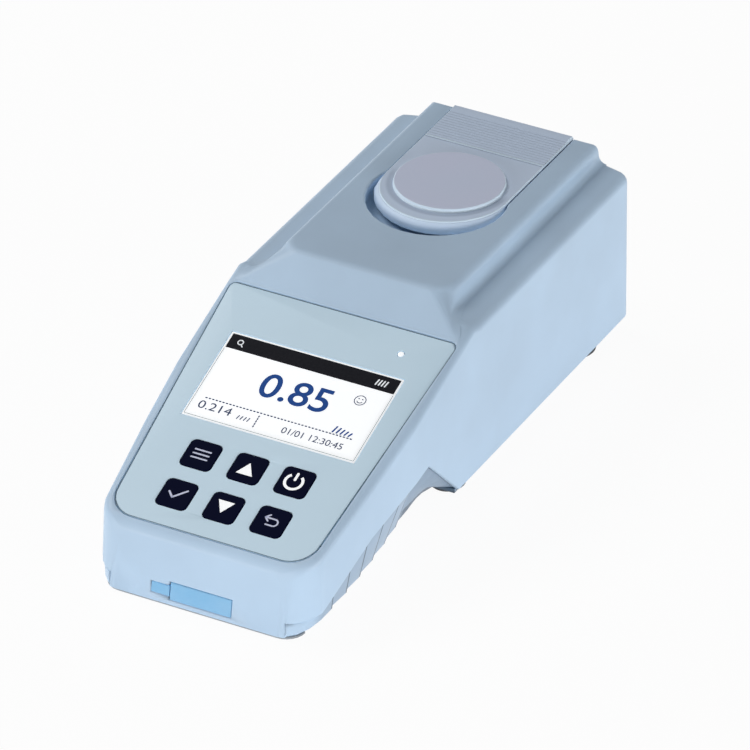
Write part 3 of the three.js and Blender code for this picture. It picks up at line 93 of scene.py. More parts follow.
class Shade:
    """One output of a material's node, with arithmetic that adds Math nodes."""

    def __init__(self, graph: Graph, socket: bpy.types.NodeSocket) -> None:
        """Wraps a socket of a graph.

        Args:
            graph: The graph that the socket is in.
            socket: The output socket.
        """
        self.graph = graph
        self.socket = socket

    def _math(self, operation: str, first: Any, second: Any = None) -> Shade:
        """Adds a Math node.

        Args:
            operation: The node's operation.
            first: Its first value or link.
            second: Its second value or link.

        Returns:
            The node's result.
        """
        values = {0: first} if second is None else {0: first, 1: second}
        return self.graph.node("ShaderNodeMath", {"operation": operation}, values)

    def __add__(self, other: Any) -> Shade:
        """This plus other."""
        return self._math("ADD", self, other)

    __radd__ = __add__

    def __sub__(self, other: Any) -> Shade:
        """This less other."""
        return self._math("SUBTRACT", self, other)

    def __rsub__(self, other: Any) -> Shade:
        """Other less this."""
        return self._math("SUBTRACT", other, self)

    def __mul__(self, other: Any) -> Shade:
        """This times other."""
        return self._math("MULTIPLY", self, other)

    __rmul__ = __mul__

    def __pow__(self, other: Any) -> Shade:
        """This to the power of other."""
        return self._math("POWER", self, other)

    def abs(self) -> Shade:
        """The size of this, without its sign."""
        return self._math("ABSOLUTE", self)

    def wave(self) -> Shade:
        """The sine of this."""
        return self._math("SINE", self)

    def least(self, other: Any) -> Shade:
        """The smaller of this and other."""
        return self._math("MINIMUM", self, other)

    def ramp(self, low: float, high: float) -> Shade:
        """A smooth step of this, from 0 at low to 1 at high."""
        values = {"Value": self, "From Min": low, "From Max": high}
        return self.graph.node("ShaderNodeMapRange", {"interpolation_type": "SMOOTHSTEP"}, values)

    def drop(self, low: float, high: float) -> Shade:
        """A smooth step down of this, from 1 at low to 0 at high."""
        return 1 - self.ramp(low, high)

    def around(self, middle: float, run: float) -> Shade:
        """This, from 0 to 1, turned into a value that runs about a middle one."""
        return self * run + (middle - run / 2)


class Graph:
    """The node tree of a material or of the world."""

    def __init__(self, owner: Material | bpy.types.World) -> None:
        """Starts an empty tree.

        Args:
            owner: The new material or world.
        """
        self.owner = owner
        owner.use_nodes = True
        self.tree = owner.node_tree
        self.tree.nodes.clear()

    def node(
        self,
        kind: str,
        settings: dict[str, Any] | None = None,
        values: dict[Any, Any] | None = None,
        output: Any = 0,
    ) -> Shade:
        """Adds a node: its settings first, then its sockets.

        Args:
            kind: The node's type.
            settings: Its own settings, such as a Math node's operation.
            values: Its sockets, by name or number, each a value or a Shade.
            output: The output that is returned, by name or number.

        Returns:
            That output.
        """
        made = self.tree.nodes.new(kind)
        for key, value in (settings or {}).items():
            setattr(made, key, value)
        for key, value in (values or {}).items():
            if isinstance(value, Shade):
                self.tree.links.new(value.socket, made.inputs[key])
            elif isinstance(value, tuple) and len(value) < len(made.inputs[key].default_value):
                made.inputs[key].default_value = (*value, 1.0)
            else:
                made.inputs[key].default_value = value
        return Shade(self, made.outputs[output])

    def place(self) -> Shade:
        """Where a point lies on its piece at rest, in metres."""
        return self.node("ShaderNodeTexCoord", output="Object")

    def axis(self, vector: Shade, number: int) -> Shade:
        """One of the three numbers of a vector."""
        return self.node("ShaderNodeSeparateXYZ", None, {"Vector": vector}, number)

    def noise(self, scale: float, detail: float = 2.0, where: Shade | None = None) -> Shade:
        """Cloudy noise over the piece.

        Args:
            scale: Its fineness, per metre.
            detail: How many finer layers it has.
            where: The place that it reads, which is the point's own if left out.

        Returns:
            The noise, about 0.5 on average.
        """
        values = {"Vector": where or self.place(), "Scale": scale, "Detail": detail}
        return self.node("ShaderNodeTexNoise", None, values)

    def blend(self, share: Any, first: Any, second: Any) -> Shade:
        """Mixes two colours.

        Args:
            share: How much of the second there is.
            first: The first colour.
            second: The second colour.

        Returns:
            The mixed colour.
        """
        values = {0: share, 6: first, 7: second}
        return self.node("ShaderNodeMix", {"data_type": "RGBA"}, values, 2)

    def bump(self, height: Shade, distance: float) -> Shade:
        """A bumpy normal, from a height of 0 to 1 that stands distance proud, in metres."""
        return self.node("ShaderNodeBump", None, {"Height": height, "Distance": distance})

    def surface(self, values: dict[str, Any]) -> Material:
        """Closes the material with a Principled shader.

        Args:
            values: The shader's sockets by name, each a value or a Shade.

        Returns:
            The finished material.
        """
        self.close(self.node("ShaderNodeBsdfPrincipled", None, values), "Material")
        return self.owner

    def close(self, shader: Shade, kind: str) -> None:
        """Joins a shader to the output of the material or the world."""
        made = self.tree.nodes.new(f"ShaderNodeOutput{kind}")
        self.tree.links.new(shader.socket, made.inputs["Surface"])


@dataclass(frozen=True)
class Finish:
    """What all the finishes share."""

    name: str

    def start(self) -> Graph:
        """Starts the finish's own material."""
        return Graph(bpy.data.materials.new(self.name))


@dataclass(frozen=True)
class Plastic(Finish):
    """A moulded plastic with a fine spark-eroded grain."""

    colour: Colour
    roughness: float = 0.36
    grain: float = 0.012 * MM
    grain_scale: float = 2600.0
    drift_share: float = 0.05
    shine: float = 0.4
    glow: float = 0.0
    cloud_scale: float = 26.0
    gloss_drift: float = 0.1
    gloss_grain: float = 0.08

    def make(self) -> Material:
        """Builds the material.

        Returns:
            A plastic whose tone, gloss and grain vary a little over the piece.
        """
        graph = self.start()
        cloud = graph.noise(self.cloud_scale, 3.0)
        fine = graph.noise(self.grain_scale)
        tone, light = self._tones(graph, cloud)
        return graph.surface(
            {
                "Base Color": tone,
                "Roughness": cloud.around(self.roughness, self.gloss_drift)
                + fine.around(0.0, self.gloss_grain),
                "Normal": graph.bump(fine, self.grain),
                "Specular IOR Level": self.shine,
                "Emission Color": light,
                "Emission Strength": self.glow,
            }
        )

    def _tones(self, graph: Graph, cloud: Shade) -> tuple[Any, Any]:
        """The plastic's own colour and the colour of its glow.

        Args:
            graph: The material's graph.
            cloud: Soft noise over the piece.

        Returns:
            The two colours.
        """
        dark = dimmed(self.colour, 1 - self.drift_share)
        light = dimmed(self.colour, 1 + self.drift_share)
        return graph.blend((cloud - 0.3) * 2.5, dark, light), self.colour


@dataclass(frozen=True, kw_only=True)
class GripPlastic(Plastic):
    """The casing's plastic on the grip, darkened as painted shade, with painted shadow at the rib
    roots and on the plate's front, and painted shade in the notch behind it.
    """

    # The three colours: painted shadow for the lines at the rib roots and on the plate's front,
    # painted shade in the notch behind the grip, and the casing's own colour at the front corners.
    line: Colour
    painted_waist_shade: Colour
    corner: Colour
    roughness: float = 0.39
    shine: float = 0.3
    first: float = -38.95 * MM
    last: float = -98.0 * MM
    pitch: float = 10.6 * MM
    rib_root_shadow: Point = (0.9, 0.935)
    corner_run: float = 8.0 * MM
    waist_start: float = -36.0 * MM
    waist_run: float = 3.0 * MM
    plate_front: float = -13.7 * MM
    plate_top: float = 6.2 * MM
    plate_run: float = 0.3 * MM

    def _tones(self, graph: Graph, cloud: Shade) -> tuple[Any, Any]:
        """The grip's colour, darkened as painted shade, with painted shadow in lines across it and
        on the plate's front, and painted shade in the notch.

        Args:
            graph: The material's graph.
            cloud: Soft noise over the piece.

        Returns:
            The colour, and the colour of its glow.
        """
        place = graph.place()
        along = graph.axis(place, 1)
        high = graph.axis(place, 2)
        turns = (self.first - along) * (2 * math.pi / self.pitch) + math.pi / 2
        zone = along.ramp(self.last, self.last + MM)
        zone = zone * along.drop(self.first + MM, self.first + 2 * MM)
        # Painted shadow in a line along each rib's step.
        rib_root_shadow = turns.wave().ramp(*self.rib_root_shadow) * zone
        # Painted shade in the notch behind the grip.
        painted_waist_shade = along.ramp(self.waist_start, self.waist_start + self.waist_run)
        # Painted shadow on the front face of the rear plate.
        end = along.drop(self.plate_front, self.plate_front + MM) * painted_waist_shade
        end = end * high.drop(self.plate_top, self.plate_top + self.plate_run)
        dark = dimmed(self.colour, 1 - self.drift_share)
        tone = graph.blend(painted_waist_shade, graph.blend(cloud, dark, self.colour), self.painted_waist_shade)
        # The painted shade fades out at the front corners, to the casing's own colour.
        corner = along.drop(self.last - self.corner_run, self.last)
        tone = graph.blend(corner, tone, self.corner)
        return graph.blend((rib_root_shadow + end).least(1.0), tone, self.line), self.colour


@dataclass(frozen=True, kw_only=True)
class LidPlastic(Plastic):
    """The lid's plastic: a greyer disc, painted highlights on its edges, painted shade between the
    ribs and round the disc's foot, and a skirt below the plate that glows as painted light.
    """

    disc: Colour
    # The pale edge colour is a painted highlight, the next one painted shade, and the last the
    # painted light that the skirt glows with.
    edge: Colour
    painted_shade_colour: Colour
    painted_lip_light: Colour
    roughness: float = 0.4
    shine: float = 0.3
    # The skirt below the plate glows as painted light.
    glow: float = 0.14
    cloud_scale: float = 40.0
    disc_y: float = 66.0 * MM
    disc_radius: float = 19.4 * MM
    round_y: float = 63.6 * MM
    half_width: float = 23.05 * MM
    pad_y: float = 91.6 * MM
    pad_end: float = 110.4 * MM
    rib_pitch: float = 18.8 / 12 * MM
    plate_z: float = 70.4 * MM
    plate_edge: float = 0.1 * MM
    foot: float = 3.2 * MM
    foot_shadow_share: float = 0.8
    rib_shade_share: float = 0.6
    line: float = 0.32 * MM

    def _tones(self, graph: Graph, cloud: Shade) -> tuple[Any, Any]:
        """The lid's colour, which follows its disc and ribs, with painted highlights and painted
        shade, and the colour of the skirt's painted glow.

        Args:
            graph: The material's graph.
            cloud: Soft noise over the piece.

        Returns:
            The colour, and the colour of its glow.
        """
        place = graph.place()
        across, along, high = (graph.axis(place, number) for number in range(3))
        upper = high.ramp(self.plate_z, self.plate_z + self.plate_edge)
        radius, half = self.disc_radius, self.half_width
        from_disc = self._far(across, along - self.disc_y)
        from_spine = self._far(across, (along - self.round_y).least(0.0))
        disc = from_disc.drop(radius - self.line, radius)
        inside = from_spine.drop(half - self.line, half)
        # Painted highlights on the disc's rim, the plate's edge and the pad's front edge.
        edges = self._ring(from_disc, radius - self.line / 2)
        edges = edges + self._ring(from_spine, half - self.line / 2)
        edges = edges + self._ring(along, self.pad_y) * inside
        # Painted shade between the ribs, and painted shadow in a line in front of the pad.
        ribs = ((along - self.pad_y) * (2 * math.pi / self.rib_pitch)).wave()
        painted_shade_mask = ribs.ramp(0.4, 1.0) * along.ramp(self.pad_y, self.pad_y + self.line)
        painted_shade_mask = painted_shade_mask * self.rib_shade_share * along.drop(self.pad_end, self.pad_end + self.line)
        painted_shade_mask = painted_shade_mask + self._ring(along, self.pad_y - 2 * self.line) * inside
        # Painted shadow round the disc's foot, towards the front.
        foot = from_disc.ramp(radius, radius + self.line)
        foot = foot * from_disc.drop(radius + self.foot / 2, radius + self.foot)
        foot = foot * along.drop(self.disc_y - self.foot, self.disc_y + self.foot)
        painted_shade_mask = (painted_shade_mask + foot * self.foot_shadow_share).least(1.0) * upper
        tone = graph.blend(disc * (cloud * 0.6 + 0.5), self.colour, self.disc)
        tone = graph.blend(painted_shade_mask, tone, self.painted_shade_colour)
        # Painted light: the skirt below the plate glows, towards the front.
        painted_lip_light = (1 - upper) * along.drop(self.disc_y - 2 * self.foot, self.disc_y)
        painted_lip_light = painted_lip_light * from_spine.ramp(half, half + self.line)
        tone = graph.blend(edges.least(1.0) * upper, tone, self.edge)
        return tone, graph.blend(painted_lip_light, (0.0, 0.0, 0.0), self.painted_lip_light)

    @staticmethod
    def _far(over: Shade, ahead: Shade) -> Shade:
        """How far a point lies from a place, by its two distances."""
        return (over * over + ahead * ahead) ** 0.5

    def _ring(self, reach: Shade, radius: float) -> Shade:
        """1 on a thin ring, and 0 away from it."""
        return (reach - radius).abs().drop(self.line / 2, self.line)


@dataclass(frozen=True)
class Rubber(Finish):
    """A matt elastomer with a slightly dusty, uneven face."""

    colour: Colour
    roughness: float = 0.7
    grain: float = 0.02 * MM
    dust_share: float = 0.12

    def make(self) -> Material:
        """Builds the material.

        Returns:
            A rubber with a mottled tone and a soft grain.
        """
        graph = self.start()
        cloud = graph.noise(90.0, 4.0)
        fine = graph.noise(1700.0, 3.0)
        pale = tuple(min(1.0, value + (1 - value) * self.dust_share) for value in self.colour)
        return graph.surface(
            {
                "Base Color": graph.blend(cloud.ramp(0.35, 0.75), self.colour, pale),
                "Roughness": cloud.around(self.roughness, 0.16),
                "Normal": graph.bump(fine, self.grain),
                "Specular IOR Level": 0.35,
            }
        )


@dataclass(frozen=True)
class Metal(Finish):
    """A turned or plated metal with fine lines round or along it."""

    colour: Colour
    roughness: float = 0.28
    line_scale: float = 5200.0
    dull_share: float = 0.86

    def make(self) -> Material:
        """Builds the material.

        Returns:
            A metal with fine machining lines in its gloss.
        """
        graph = self.start()
        stretch = graph.node(
            "ShaderNodeMapping", None, {"Vector": graph.place(), "Scale": (0.12, 0.12, 1.0)}
        )
        lines = graph.noise(self.line_scale, where=stretch)
        tone = graph.noise(300.0)
        dull = dimmed(self.colour, self.dull_share)
        return graph.surface(
            {
                "Base Color": graph.blend(tone.ramp(0.3, 0.7), dull, self.colour),
                "Metallic": 1.0,
                "Roughness": lines.around(self.roughness, 0.18),
                "Normal": graph.bump(lines, 0.006 * MM),
            }
        )


@dataclass(frozen=True)
class Laminate(Finish):
    """A circuit board: green lacquer over copper tracks, with bare pads."""

    lacquer: Colour = srgb(26, 92, 58)
    track: Colour = srgb(44, 124, 78)
    pad: Colour = srgb(206, 180, 120)
    pitch: float = 2.54 * MM

    def make(self) -> Material:
        """Builds the material.

        Returns:
            A board whose tracks run in steps and end in pads.
        """
        graph = self.start()
        cells = graph.node(
            "ShaderNodeTexBrick",
            None,
            {
                "Vector": graph.place(),
                "Scale": 1.0,
                "Mortar Size": self.pitch * 0.12,
                "Brick Width": self.pitch * 5,
                "Row Height": self.pitch * 0.5,
            },
            "Fac",
        )
        spots = graph.node(
            "ShaderNodeTexVoronoi",
            None,
            {"Vector": graph.place(), "Scale": 1 / (2 * self.pitch), "Randomness": 0.55},
            "Distance",
        )
        pads = spots.drop(0.13, 0.16)
        lacquered = graph.blend(cells, self.lacquer, self.track)
        return graph.surface(
            {
                "Base Color": graph.blend(pads, lacquered, self.pad),
                "Metallic": pads * 0.8,
                "Roughness": 0.42 - pads * 0.12,
                "Normal": graph.bump(cells, 0.03 * MM),
            }
        )


@dataclass(frozen=True)
class Ink(Finish):
    """Printed ink, flat and a little uneven."""

    colour: Colour
    roughness: float = 0.4
    shine: float = 0.1
    glow: float = 0.0

    def make(self) -> Material:
        """Builds the material.

        Returns:
            An ink whose tone and gloss vary a little, and that may be lit from behind.
        """
        graph = self.start()
        cloud = graph.noise(1200.0)
        thin = tuple(min(1.0, value * 1.1 + 0.004) for value in self.colour)
        tone = graph.blend(cloud.ramp(0.3, 0.8), self.colour, thin)
        return graph.surface(
            {
                "Base Color": tone,
                "Roughness": cloud.around(self.roughness, 0.1),
                "Specular IOR Level": self.shine,
                "Emission Color": tone,
                "Emission Strength": self.glow,
            }
        )


@dataclass(frozen=True)
class LitScreen(Finish):
    """The display's glass over its white backlight, a little dimmer towards the rim."""

    colour: Colour
    glow: float
    half_size: Point
    middle: Vector
    tilt: float
    rim: float = 3.2 * MM
    row_pitch: float = 0.32 * MM

    def make(self) -> Material:
        """Builds the material.

        Returns:
            A glossy, softly glowing white with fine pixel rows.
        """
        graph = self.start()
        centred = graph.node(
            "ShaderNodeVectorMath",
            {"operation": "SUBTRACT"},
            {0: graph.place(), 1: tuple(self.middle)},
        )
        level = graph.node(
            "ShaderNodeVectorRotate",
            {"rotation_type": "X_AXIS"},
            {"Vector": centred, "Angle": -self.tilt},
        )
        across = graph.axis(level, 0)
        down = graph.axis(level, 1)
        to_side = self.half_size[0] - across.abs()
        to_end = self.half_size[1] - down.abs()
        rim = to_side.least(to_end).ramp(0.0, self.rim)
        rows = (down * (2 * math.pi / self.row_pitch)).wave() * 0.5 + 0.5
        tone = graph.blend(rim, dimmed(self.colour, 0.9), self.colour)
        return graph.surface(
            {
                "Base Color": tone,
                "Roughness": rows * 0.03 + 0.16,
                "Emission Color": tone,
                "Emission Strength": self.glow,
                "Specular IOR Level": 0.4,
            }
        )


@dataclass(frozen=True)
class Glass(Finish):
    """A tinted optical filter."""

    colour: Colour

    def make(self) -> Material:
        """Builds the material.

        Returns:
            A clear tinted glass with faint streaks in its gloss.
        """
        graph = self.start()
        streak = graph.noise(700.0, 1.0)
        return graph.surface(
            {
                "Base Color": graph.blend(streak.ramp(0.3, 0.7), self.colour, (1.0, 1.0, 1.0)),
                "Roughness": streak * 0.04 + 0.02,
                "Transmission Weight": 0.85,
                "IOR": 1.5,
            }
        )


@dataclass(frozen=True)
class Ribbon(Finish):
    """A flat cable: parallel wires side by side."""

    colour: Colour = srgb(206, 208, 204)
    pitch: float = 1.0 * MM

    def make(self) -> Material:
        """Builds the material.

        Returns:
            A pale vinyl, ribbed along its wires.
        """
        graph = self.start()
        across = graph.axis(graph.place(), 0)
        wires = (across * (2 * math.pi / self.pitch)).wave() * 0.5 + 0.5
        return graph.surface(
            {
                "Base Color": graph.blend(wires, dimmed(self.colour, 0.7), self.colour),
                "Roughness": wires * 0.1 + 0.42,
                "Normal": graph.bump(wires, 0.15 * MM),
            }
        )


class Slot(Enum):
    """The record's material slots."""

    CASING = "casing"
    OVERLAY = "overlay"
    SCREEN = "screen"
    KEY = "key"
    LAMP = "lamp"
    LID = "lid"
    BLUE_RUBBER = "blue_rubber"
    DARK_RUBBER = "dark_rubber"
    SOLE_RUBBER = "sole_rubber"
    STEEL = "steel"
    BLACK_PLASTIC = "black_plastic"
    BOARD = "board"
    FILTER_GLASS = "filter_glass"
    BATTERY_WRAP = "battery_wrap"
    CABLE = "cable"


class Body(Enum):
    """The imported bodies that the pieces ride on."""

    CASING = "casing"
    LID = "lid"
    MENU_KEY = "menu_key"
    UP_KEY = "up_key"
    POWER_KEY = "power_key"
    CONFIRM_KEY = "confirm_key"
    DOWN_KEY = "down_key"
    BACK_KEY = "back_key"
    PORT_COVER = "port_cover"


@dataclass
class Bench:
    """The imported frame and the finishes, shared by all the sub-assemblies."""

    nodes: dict[str, Piece]
    finishes: dict[Slot, Material]
    seam_reach: float = 0.4 * MM
    hairline: float = 0.01 * MM
    corner_x: float = 33.0 * MM
    corner_y: float = -108.0 * MM
    corner_run: float = 7.0 * MM
    corner_step: float = 0.42 * MM
    corner_facing: float = -0.2
    weld: float = 0.002 * MM
    flat: float = math.radians(0.6)
    sharp: float = math.radians(34)
    crease: float = math.radians(50)

    def finish(self, slot: Slot, *nodes: str) -> None:
        """Gives CAD nodes that stay their finish.

        Args:
            slot: The slot whose finish they take.
            nodes: The nodes' names.
        """
        for node in nodes:
            piece = self.nodes[node]
            if not piece.material_slots:
                raise ValueError(f"{node} has no material slot")
            for place in piece.material_slots:
                place.link = "OBJECT"
                place.material = self.finishes[slot]
            LOG.info("%s keeps its solid, finished as %s", node, slot.value)

    def add(
        self, name: str, mesh: bpy.types.Mesh, body: Body, slot: Slot, ink: Material | None = None
    ) -> Piece:
        """Adds a piece to the scene, on its body.

        Args:
            name: The piece's name.
            mesh: Its mesh, in the row frame.
            body: The body that it moves with.
            slot: The slot that it takes its finish from.
            ink: Its material, where it isn't the slot's own.

        Returns:
            The piece.
        """
        piece = bpy.data.objects.new(name, mesh)
        bpy.context.scene.collection.objects.link(piece)
        mesh.materials.clear()
        mesh.materials.append(ink or self.finishes[slot])
        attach(piece, body.value)
        LOG.info("%s: %d faces, on %s", name, len(mesh.polygons), body.value)
        return piece

    def mould(
        self, node: str, body: Body, slot: Slot, edge: float = 0.25 * MM, steps: int = 2
    ) -> Piece:
        """Replaces a CAD node by the same form with its sharp edges broken.

        Args:
            node: The node that the piece stands for.
            body: The body that it moves with.
            slot: The slot that it takes its finish from.
            edge: How wide the broken edges are, in metres.
            steps: How many faces round each edge.

        Returns:
            The piece.
        """
        mesh = self.nodes[node].data.copy()
        mesh.name = f"{node}_skin"
        shape = bmesh.new()
        shape.from_mesh(mesh)
        bmesh.ops.remove_doubles(shape, verts=shape.verts, dist=self.weld)
        bmesh.ops.dissolve_limit(shape, angle_limit=self.flat, verts=shape.verts, edges=shape.edges)
        if edge > 0:
            edges = [
                one
                for one in shape.edges
                if len(one.link_faces) == 2 and one.calc_face_angle(0.0) > self.sharp
            ]
            bmesh.ops.bevel(
                shape,
                geom=edges,
                offset=edge,
                offset_type="OFFSET",
                segments=steps,
                profile=0.5,
                affect="EDGES",
                clamp_overlap=False,
                miter_outer="ARC",
            )
        bmesh.ops.triangulate(shape, faces=[one for one in shape.faces if len(one.verts) > 4])
        shape.to_mesh(mesh)
        shape.free()
        mesh.shade_smooth()
        mesh.set_sharp_from_angle(angle=self.crease)
        piece = self.add(f"{node}_shell", mesh, body, slot)
        even = piece.modifiers.new("even_normals", "WEIGHTED_NORMAL")
        even.keep_sharp = True
        even.weight = 60
        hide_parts(node)
        return piece

    def close_seam(self, piece: Piece, node: str) -> None:
        """Draws a piece up to the one that it closes on, until a hairline is left.

        Args:
            piece: The piece.
            node: The node that it closes on.
        """
        other = self.nodes[node].data
        corners = [corner.co for corner in other.vertices]
        tree = BVHTree.FromPolygons(corners, [face.vertices for face in other.polygons])
        for corner in piece.data.vertices:
            place, _, _, away = tree.find_nearest(corner.co, self.seam_reach)
            if place is not None and away > self.hairline:
                corner.co = place + (corner.co - place) * (self.hairline / away)
            past = abs(corner.co.x) - self.corner_x
            if corner.co.y < self.corner_y and abs(past) < self.seam_reach:
                corner.co.x = math.copysign(self.corner_x + self.hairline, corner.co.x)

    def fill_corners(self, piece: Piece) -> None:
        """Brings a piece's two front corners out, flush with the casing above them.

        Args:
            piece: The piece.
        """
        facing = [corner.normal.y for corner in piece.data.vertices]
        for corner, ahead in zip(piece.data.vertices, facing):
            past = (abs(corner.co.x) - self.corner_x) / self.corner_run
            if corner.co.y < self.corner_y and 0 <= past < 1 and ahead < self.corner_facing:
                corner.co.y -= self.corner_step * (1 - past)


@dataclass
class Panel:
    """The sloping panel's own frame: x across, y up the slope, z out of it."""

    top_y: float = -10.0 * MM
    top_z: float = 60.8 * MM
    tilt: float = math.atan2(34.35, 96.8)

    def matrix(self) -> Matrix:
        """The turn and move from the panel's frame to the row frame."""
        move = Matrix.Translation((0.0, self.top_y, self.top_z))
        return move @ Matrix.Rotation(self.tilt, 4, "X")


def arc(middle: Point, radius: float, first: float, last: float, count: int) -> Outline:
    """Points along an arc.

    Args:
        middle: The arc's middle.
        radius: Its radius.
        first: The angle where it starts.
        last: The angle where it ends.
        count: How many steps it has.

    Returns:
        The points, from first to last.
    """
    turns = [first + (last - first) * step / count for step in range(count + 1)]
    return [
        (middle[0] + radius * math.cos(turn), middle[1] + radius * math.sin(turn))
        for turn in turns
    ]


def disc(middle: Point, radius: float) -> Outline:
    """A small round outline, anticlockwise."""
    return arc(middle, radius, 0.0, 2 * math.pi, 12)[:-1]


def bar(start: Point, end: Point, width: float, caps: int = 6) -> Outline:
    """A straight stroke with round ends.

    Args:
        start: Where the stroke's middle line starts.
        end: Where it ends.
        width: How wide it is.
        caps: How many steps each round end has.

    Returns:
        The points, anticlockwise.
    """
    ahead = math.atan2(end[1] - start[1], end[0] - start[0])
    turns = [ahead + math.pi * quarter for quarter in (-0.5, 0.5, 1.5)]
    return arc(end, width / 2, *turns[:2], caps) + arc(start, width / 2, *turns[1:], caps)


def bow(middle: Point, radius: float, width: float, first: float, last: float) -> Outline:
    """A stroke along an arc, with square ends.

    Args:
        middle: The arc's middle.
        radius: The radius of the stroke's middle line.
        width: How wide the stroke is.
        first: The angle where it starts.
        last: The angle where it ends.

    Returns:
        The points, anticlockwise.
    """
    count = 28
    outer = arc(middle, radius + width / 2, first, last, count)
    return outer + arc(middle, radius - width / 2, last, first, count)


@dataclass
class Printer:
    """Prints marks on the panel as thin layers of ink."""

    bench: Bench
    panel: Panel
    layer: float = 0.03 * MM

    def print_shapes(
        self,
        name: str,
        shapes: Iterable[Outline],
        out: float,
        ink: Material,
        body: Body = Body.CASING,
        slot: Slot = Slot.SCREEN,
    ) -> None:
        """Prints closed shapes.

        Args:
            name: The piece's name.
            shapes: Their outlines, in millimetres, x across and y up the slope.
            out: How far out of the panel the ink starts, in metres.
            ink: The ink's material.
            body: The body that the print moves with.
            slot: The slot that it belongs to.
        """
        mesh = bpy.data.meshes.new(name)
        shape = bmesh.new()
        turn = self.panel.matrix()
        outward = turn.to_3x3() @ Vector((0, 0, 1))
        for outline in shapes:
            places = [turn @ Vector((x * MM, y * MM, out)) for x, y in outline]
            face = shape.faces.new([shape.verts.new(place) for place in places])
            face.normal_update()
            if face.normal.dot(outward) < 0:
                face.normal_flip()
            raised = bmesh.ops.extrude_face_region(shape, geom=[face])
            corners = [one for one in raised["geom"] if isinstance(one, bmesh.types.BMVert)]
            bmesh.ops.translate(shape, verts=corners, vec=outward * self.layer)
        bmesh.ops.recalc_face_normals(shape, faces=shape.faces)
        bmesh.ops.triangulate(shape, faces=[one for one in shape.faces if len(one.verts) > 4])
        shape.to_mesh(mesh)
        shape.free()
        self.bench.add(name, mesh, body, slot, ink)

    def print_digits(
        self,
        name: str,
        words: str,
        left: Point,
        height: float,
        width: float,
        weight: float,
        out: float,
        ink: Material,
    ) -> None:
        """Prints a row of digits on the display.

        Args:
            name: The piece's name.
            words: The digits.
            left: Their lower left corner, in millimetres on the panel.
            height: The height of a digit, in millimetres.
            width: The width of the whole row, in millimetres.
            weight: How much thicker than the plain face they are, in millimetres.
            out: How far out of the panel the ink starts, in metres.
            ink: The ink's material.
        """
        curve = bpy.data.curves.new(name, "FONT")
        curve.body = words
        curve.resolution_u = 6
        text = bpy.data.objects.new(name, curve)
        bpy.context.scene.collection.objects.link(text)
        bpy.context.view_layer.update()
        graph = bpy.context.evaluated_depsgraph_get()
        corners = [Vector(one) for one in text.evaluated_get(graph).bound_box]
        low = Vector(min(one[axis] for one in corners) for axis in range(3))
        high = Vector(max(one[axis] for one in corners) for axis in range(3))
        scale_up = height / (high.y - low.y)
        scale_over = width / (high.x - low.x)
        curve.offset = weight / 2 / scale_up
        curve.extrude = self.layer / MM / 2
        bpy.context.view_layer.update()
        graph = bpy.context.evaluated_depsgraph_get()
        mesh = bpy.data.meshes.new_from_object(text.evaluated_get(graph))
        bpy.data.objects.remove(text)
        place = (
            self.panel.matrix()
            @ Matrix.Translation((left[0] * MM, left[1] * MM, out + self.layer / 2))
            @ Matrix.Diagonal((scale_over * MM, scale_up * MM, MM, 1.0))
            @ Matrix.Translation((-low.x, -low.y, 0.0))
        )
        mesh.transform(place)
        mesh.name = name
        self.bench.add(name, mesh, Body.CASING, Slot.SCREEN, ink)


@dataclass
class Casing:
    """The two casings, the battery door, the feet and their screws."""

    bench: Bench

    def build(self) -> None:
        """Builds the shells and dresses the screws."""
        self.bench.mould("upper_casing", Body.CASING, Slot.CASING, 0.0)
        grip = self.bench.mould("lower_casing", Body.CASING, Slot.CASING, 0.0)
        self.bench.close_seam(grip, "upper_casing")
        self.bench.fill_corners(grip)
        # The grip's colour is the casing's plastic darkened as painted shade, since the grip faces
        # down; its other colours are painted shadow, painted shade and the casing's own colour.
        grip.data.materials[0] = GripPlastic(
            "grip_plastic",
            colour=srgb(162, 184, 206),
            line=srgb(84, 104, 124),
            painted_waist_shade=srgb(142, 163, 184),
            corner=srgb(185, 209, 232),
        ).make()
        self.bench.mould("battery_door", Body.CASING, Slot.CASING)
        for place in ("rear", "middle"):
            for side in ("left", "right"):
                self.bench.mould(f"{place}_foot_{side}", Body.CASING, Slot.DARK_RUBBER, 0.3 * MM)
        self.bench.mould("front_foot_strip", Body.CASING, Slot.SOLE_RUBBER)
        screws = [f"casing_screw_{number}" for number in range(1, 5)]
        screws += [f"battery_door_screw_{number}" for number in range(1, 3)]
        self.bench.finish(Slot.STEEL, *screws)


@dataclass
class LidUnit:
    """The flip lid, its pin, its seal and the well under it."""

    bench: Bench

    def build(self) -> None:
        """Builds the lid and dresses the well."""
        self.bench.mould("lid", Body.LID, Slot.LID, 0.0)
        self.bench.mould("lid_seal", Body.LID, Slot.DARK_RUBBER)
        self.bench.mould("lid_light_shield", Body.LID, Slot.BLACK_PLASTIC)
        self.bench.mould("sample_well", Body.CASING, Slot.BLACK_PLASTIC, 0.2 * MM)
        self.bench.finish(Slot.STEEL, "hinge_pin")


@dataclass
class Optics:
    """The lamp, filter and detector either side of the well, and their boards."""

    bench: Bench

    def build(self) -> None:
        """Dresses the optics."""
        self.bench.finish(Slot.LAMP, "light_source")
        self.bench.finish(Slot.BOARD, "light_source_board", "photodiode_board")
        self.bench.finish(Slot.FILTER_GLASS, "optical_filter")
        self.bench.finish(Slot.STEEL, "photodiode")
        self.bench.finish(Slot.CABLE, "signal_cable")


